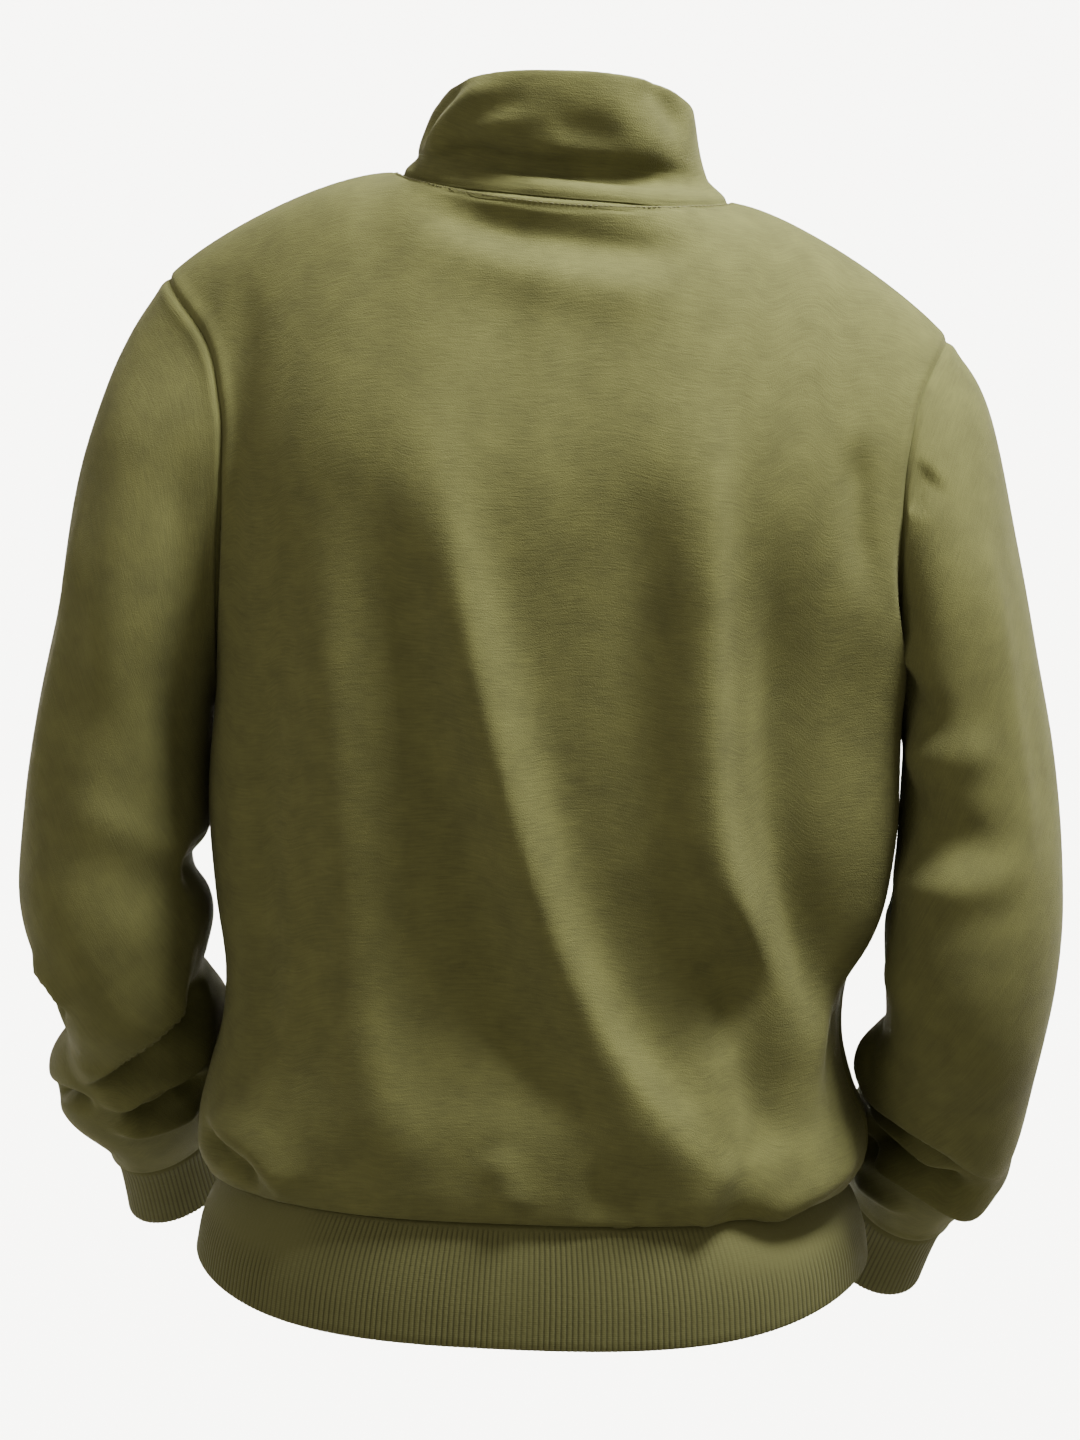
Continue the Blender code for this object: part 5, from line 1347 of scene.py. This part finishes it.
# Matt polyester thread, a shade darker than the fleece that it sinks into.
thread = new_finish("olive_sewing_thread", Base_Color=linear(THREAD_COLOUR), Roughness=0.7)[0]


def stitches(name, line, out):
    """A row of stitches along a line of points, which lie on the cloth and face out."""
    bpy.ops.object.select_all(action="DESELECT")
    bpy.ops.mesh.primitive_uv_sphere_add(segments=6, ring_count=5, radius=0.5)
    one = bpy.context.object
    one.scale = (STITCH_THICK, STITCH_THICK, STITCH_LONG)
    bpy.ops.object.transform_apply(location=True, rotation=True, scale=True)
    one.data.shade_smooth()
    run = run_along(line)
    spots = []
    for at in np.arange(STITCH_PITCH, run[-1] - STITCH_PITCH, STITCH_PITCH):
        start, middle, end = (Vector([np.interp(at + step, run, line[:, k]) for k in range(3)])
                              for step in (-STITCH_LONG / 2, 0, STITCH_LONG / 2))
        facing = Vector([np.interp(at, run, out[:, k]) for k in range(3)]).normalized()
        way = (end - start).normalized()
        sideways = facing.cross(way).normalized()
        turn = Matrix((sideways, way.cross(sideways), way)).transposed().to_4x4()
        spots.append(Matrix.Translation(middle + facing * STITCH_THICK * 0.15) @ turn)
    row = copies(name, one, spots, thread)
    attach(row, "garment")
    return row


def line_below(grid, outward, depth, first, last):
    """The line on the cloth at this depth below the top row, between two columns, and its facing."""
    normals = normals_of(grid, outward)
    below = arc_lengths(grid)[1]
    below = below[-1:] - below
    found = [[np.array([np.interp(depth, below[::-1, j], values[::-1, j, k]) for k in range(3)])
              for values in (grid, normals)] for j in range(first, last + 1)]
    return np.array([one[0] for one in found]), np.array([one[1] for one in found])


stitches("back_neck_stitches",
         *line_below(back_grid + (0, SEAM_GAP / 2, 0), -1, NECK_ROW, neck_first, neck_last))
for side, first, last in (("right", neck_first, slit_first - 4), ("left", slit_last + 4, neck_last)):
    stitches(f"{side}_front_neck_stitches",
             *line_below(front_grid - (0, SEAM_GAP / 2, 0), 1, NECK_ROW, first, last))

front_normals = normals_of(front_grid, 1)
collar_normals = normals_of(collar_grid, -1)
for side, sign in (("right", -1), ("left", 1)):
    x = sign * (ZIP_HALF_GAP + ZIP_ROW)
    on_front = [[np.array([np.interp(x, front_grid[i, :, 0], values[i, :, k]) for k in range(3)])
                 for values in (front_grid, front_normals)] for i in range(slit_row - 1, len(rows) - 4)]
    stitches(f"{side}_zip_stitches", np.array([one[0] for one in on_front]) - (0, SEAM_GAP / 2, 0),
             np.array([one[1] for one in on_front]))
    half = slice(0, 30) if sign < 0 else slice(-1, -31, -1)
    on_collar = [[np.array([np.interp(sign * x, sign * collar_grid[i, half, 0], values[i, half, k])
                            for k in range(3)])
                  for values in (collar_grid, collar_normals)] for i in range(5, len(rises))]
    stitches(f"{side}_collar_stitches", np.array([one[0] for one in on_collar]),
             np.array([one[1] for one in on_collar]))

# ================================================================ floor, lights and camera
# A plain pale floor, and soft studio light from above and from the right of the camera.
FLOOR = -3.20
FLOOR_COLOUR = "#fbfaf5"
GARMENT_MIDDLE = (0, 0, -0.33)

bpy.ops.object.select_all(action="DESELECT")
bpy.ops.mesh.primitive_plane_add(size=160, location=(0, 0, FLOOR))
floor = bpy.context.object
floor.name = "studio_floor"
floor.data.materials.append(new_finish("pale_floor", Base_Color=linear(FLOOR_COLOUR), Roughness=0.95,
                                       Specular_IOR_Level=0.1)[0])

world = bpy.data.worlds.new("studio")
bpy.context.scene.world = world
world.use_nodes = True
sky = world.node_tree.nodes["Background"]
sky.inputs["Color"].default_value = linear("#fbf6de")
sky.inputs["Strength"].default_value = 0.95


def soft_light(name, place, aim, size, power, colour):
    """A square area light at a place, turned to what it lights."""
    light = bpy.data.objects.new(name, bpy.data.lights.new(name, "AREA"))
    light.data.size, light.data.energy, light.data.color = size, power, colour
    light.location = place
    light.data.spread = math.radians(50)
    light.rotation_mode = "QUATERNION"
    light.rotation_quaternion = (Vector(place) - Vector(aim)).to_track_quat("Z", "Y")
    bpy.context.scene.collection.objects.link(light)


soft_light("key_light", (-0.92, 0.38, 2.00), GARMENT_MIDDLE, 0.6, 36, (0.96, 1.0, 0.93))
soft_light("fill_light", (1.85, 1.55, 0.50), GARMENT_MIDDLE, 1.2, 2.4, (1.0, 0.96, 0.88))
overhead = bpy.data.objects.new("overhead_light", bpy.data.lights.new("overhead_light", "SUN"))
overhead.data.energy = 0.3
overhead.data.angle = math.radians(25)
overhead.rotation_mode = "QUATERNION"
overhead.rotation_quaternion = Vector((-0.12, -0.05, 1.0)).to_track_quat("Z", "Y")
bpy.context.scene.collection.objects.link(overhead)

# The background has its own light: a large panel over the floor beyond the garment.
background = bpy.data.objects.new("background_light", bpy.data.lights.new("background_light", "AREA"))
background.data.shape, background.data.size, background.data.size_y = "RECTANGLE", 30, 60
background.data.energy = 42000
background.data.spread = math.radians(60)
background.location = (0, -34.5, 0.35)
bpy.context.scene.collection.objects.link(background)

# The camera stands behind the wearer, a little above the shoulders.
TARGET = Vector((0.004, 0.0, -0.33))
AZIMUTH = math.radians(186)
ELEVATION = math.radians(12)
ROLL = math.radians(2)
DISTANCE = 3.3

back_way = Vector((math.sin(AZIMUTH) * math.cos(ELEVATION), -math.cos(AZIMUTH) * math.cos(ELEVATION),
                   math.sin(ELEVATION)))
level = Vector((0, 0, 1)).cross(back_way).normalized()
upright = back_way.cross(level)
right = level * math.cos(ROLL) + upright * math.sin(ROLL)
up = upright * math.cos(ROLL) - level * math.sin(ROLL)
camera = bpy.data.objects.new("camera", bpy.data.cameras.new("camera"))
camera.data.sensor_width = 36
camera.data.lens = 136
camera.data.clip_end = 400
camera.matrix_world = Matrix.Translation(TARGET + back_way * DISTANCE) @ Matrix(
    (right, up, back_way)).transposed().to_4x4()
bpy.context.scene.collection.objects.link(camera)
bpy.context.scene.camera = camera

bpy.context.view_layer.update()
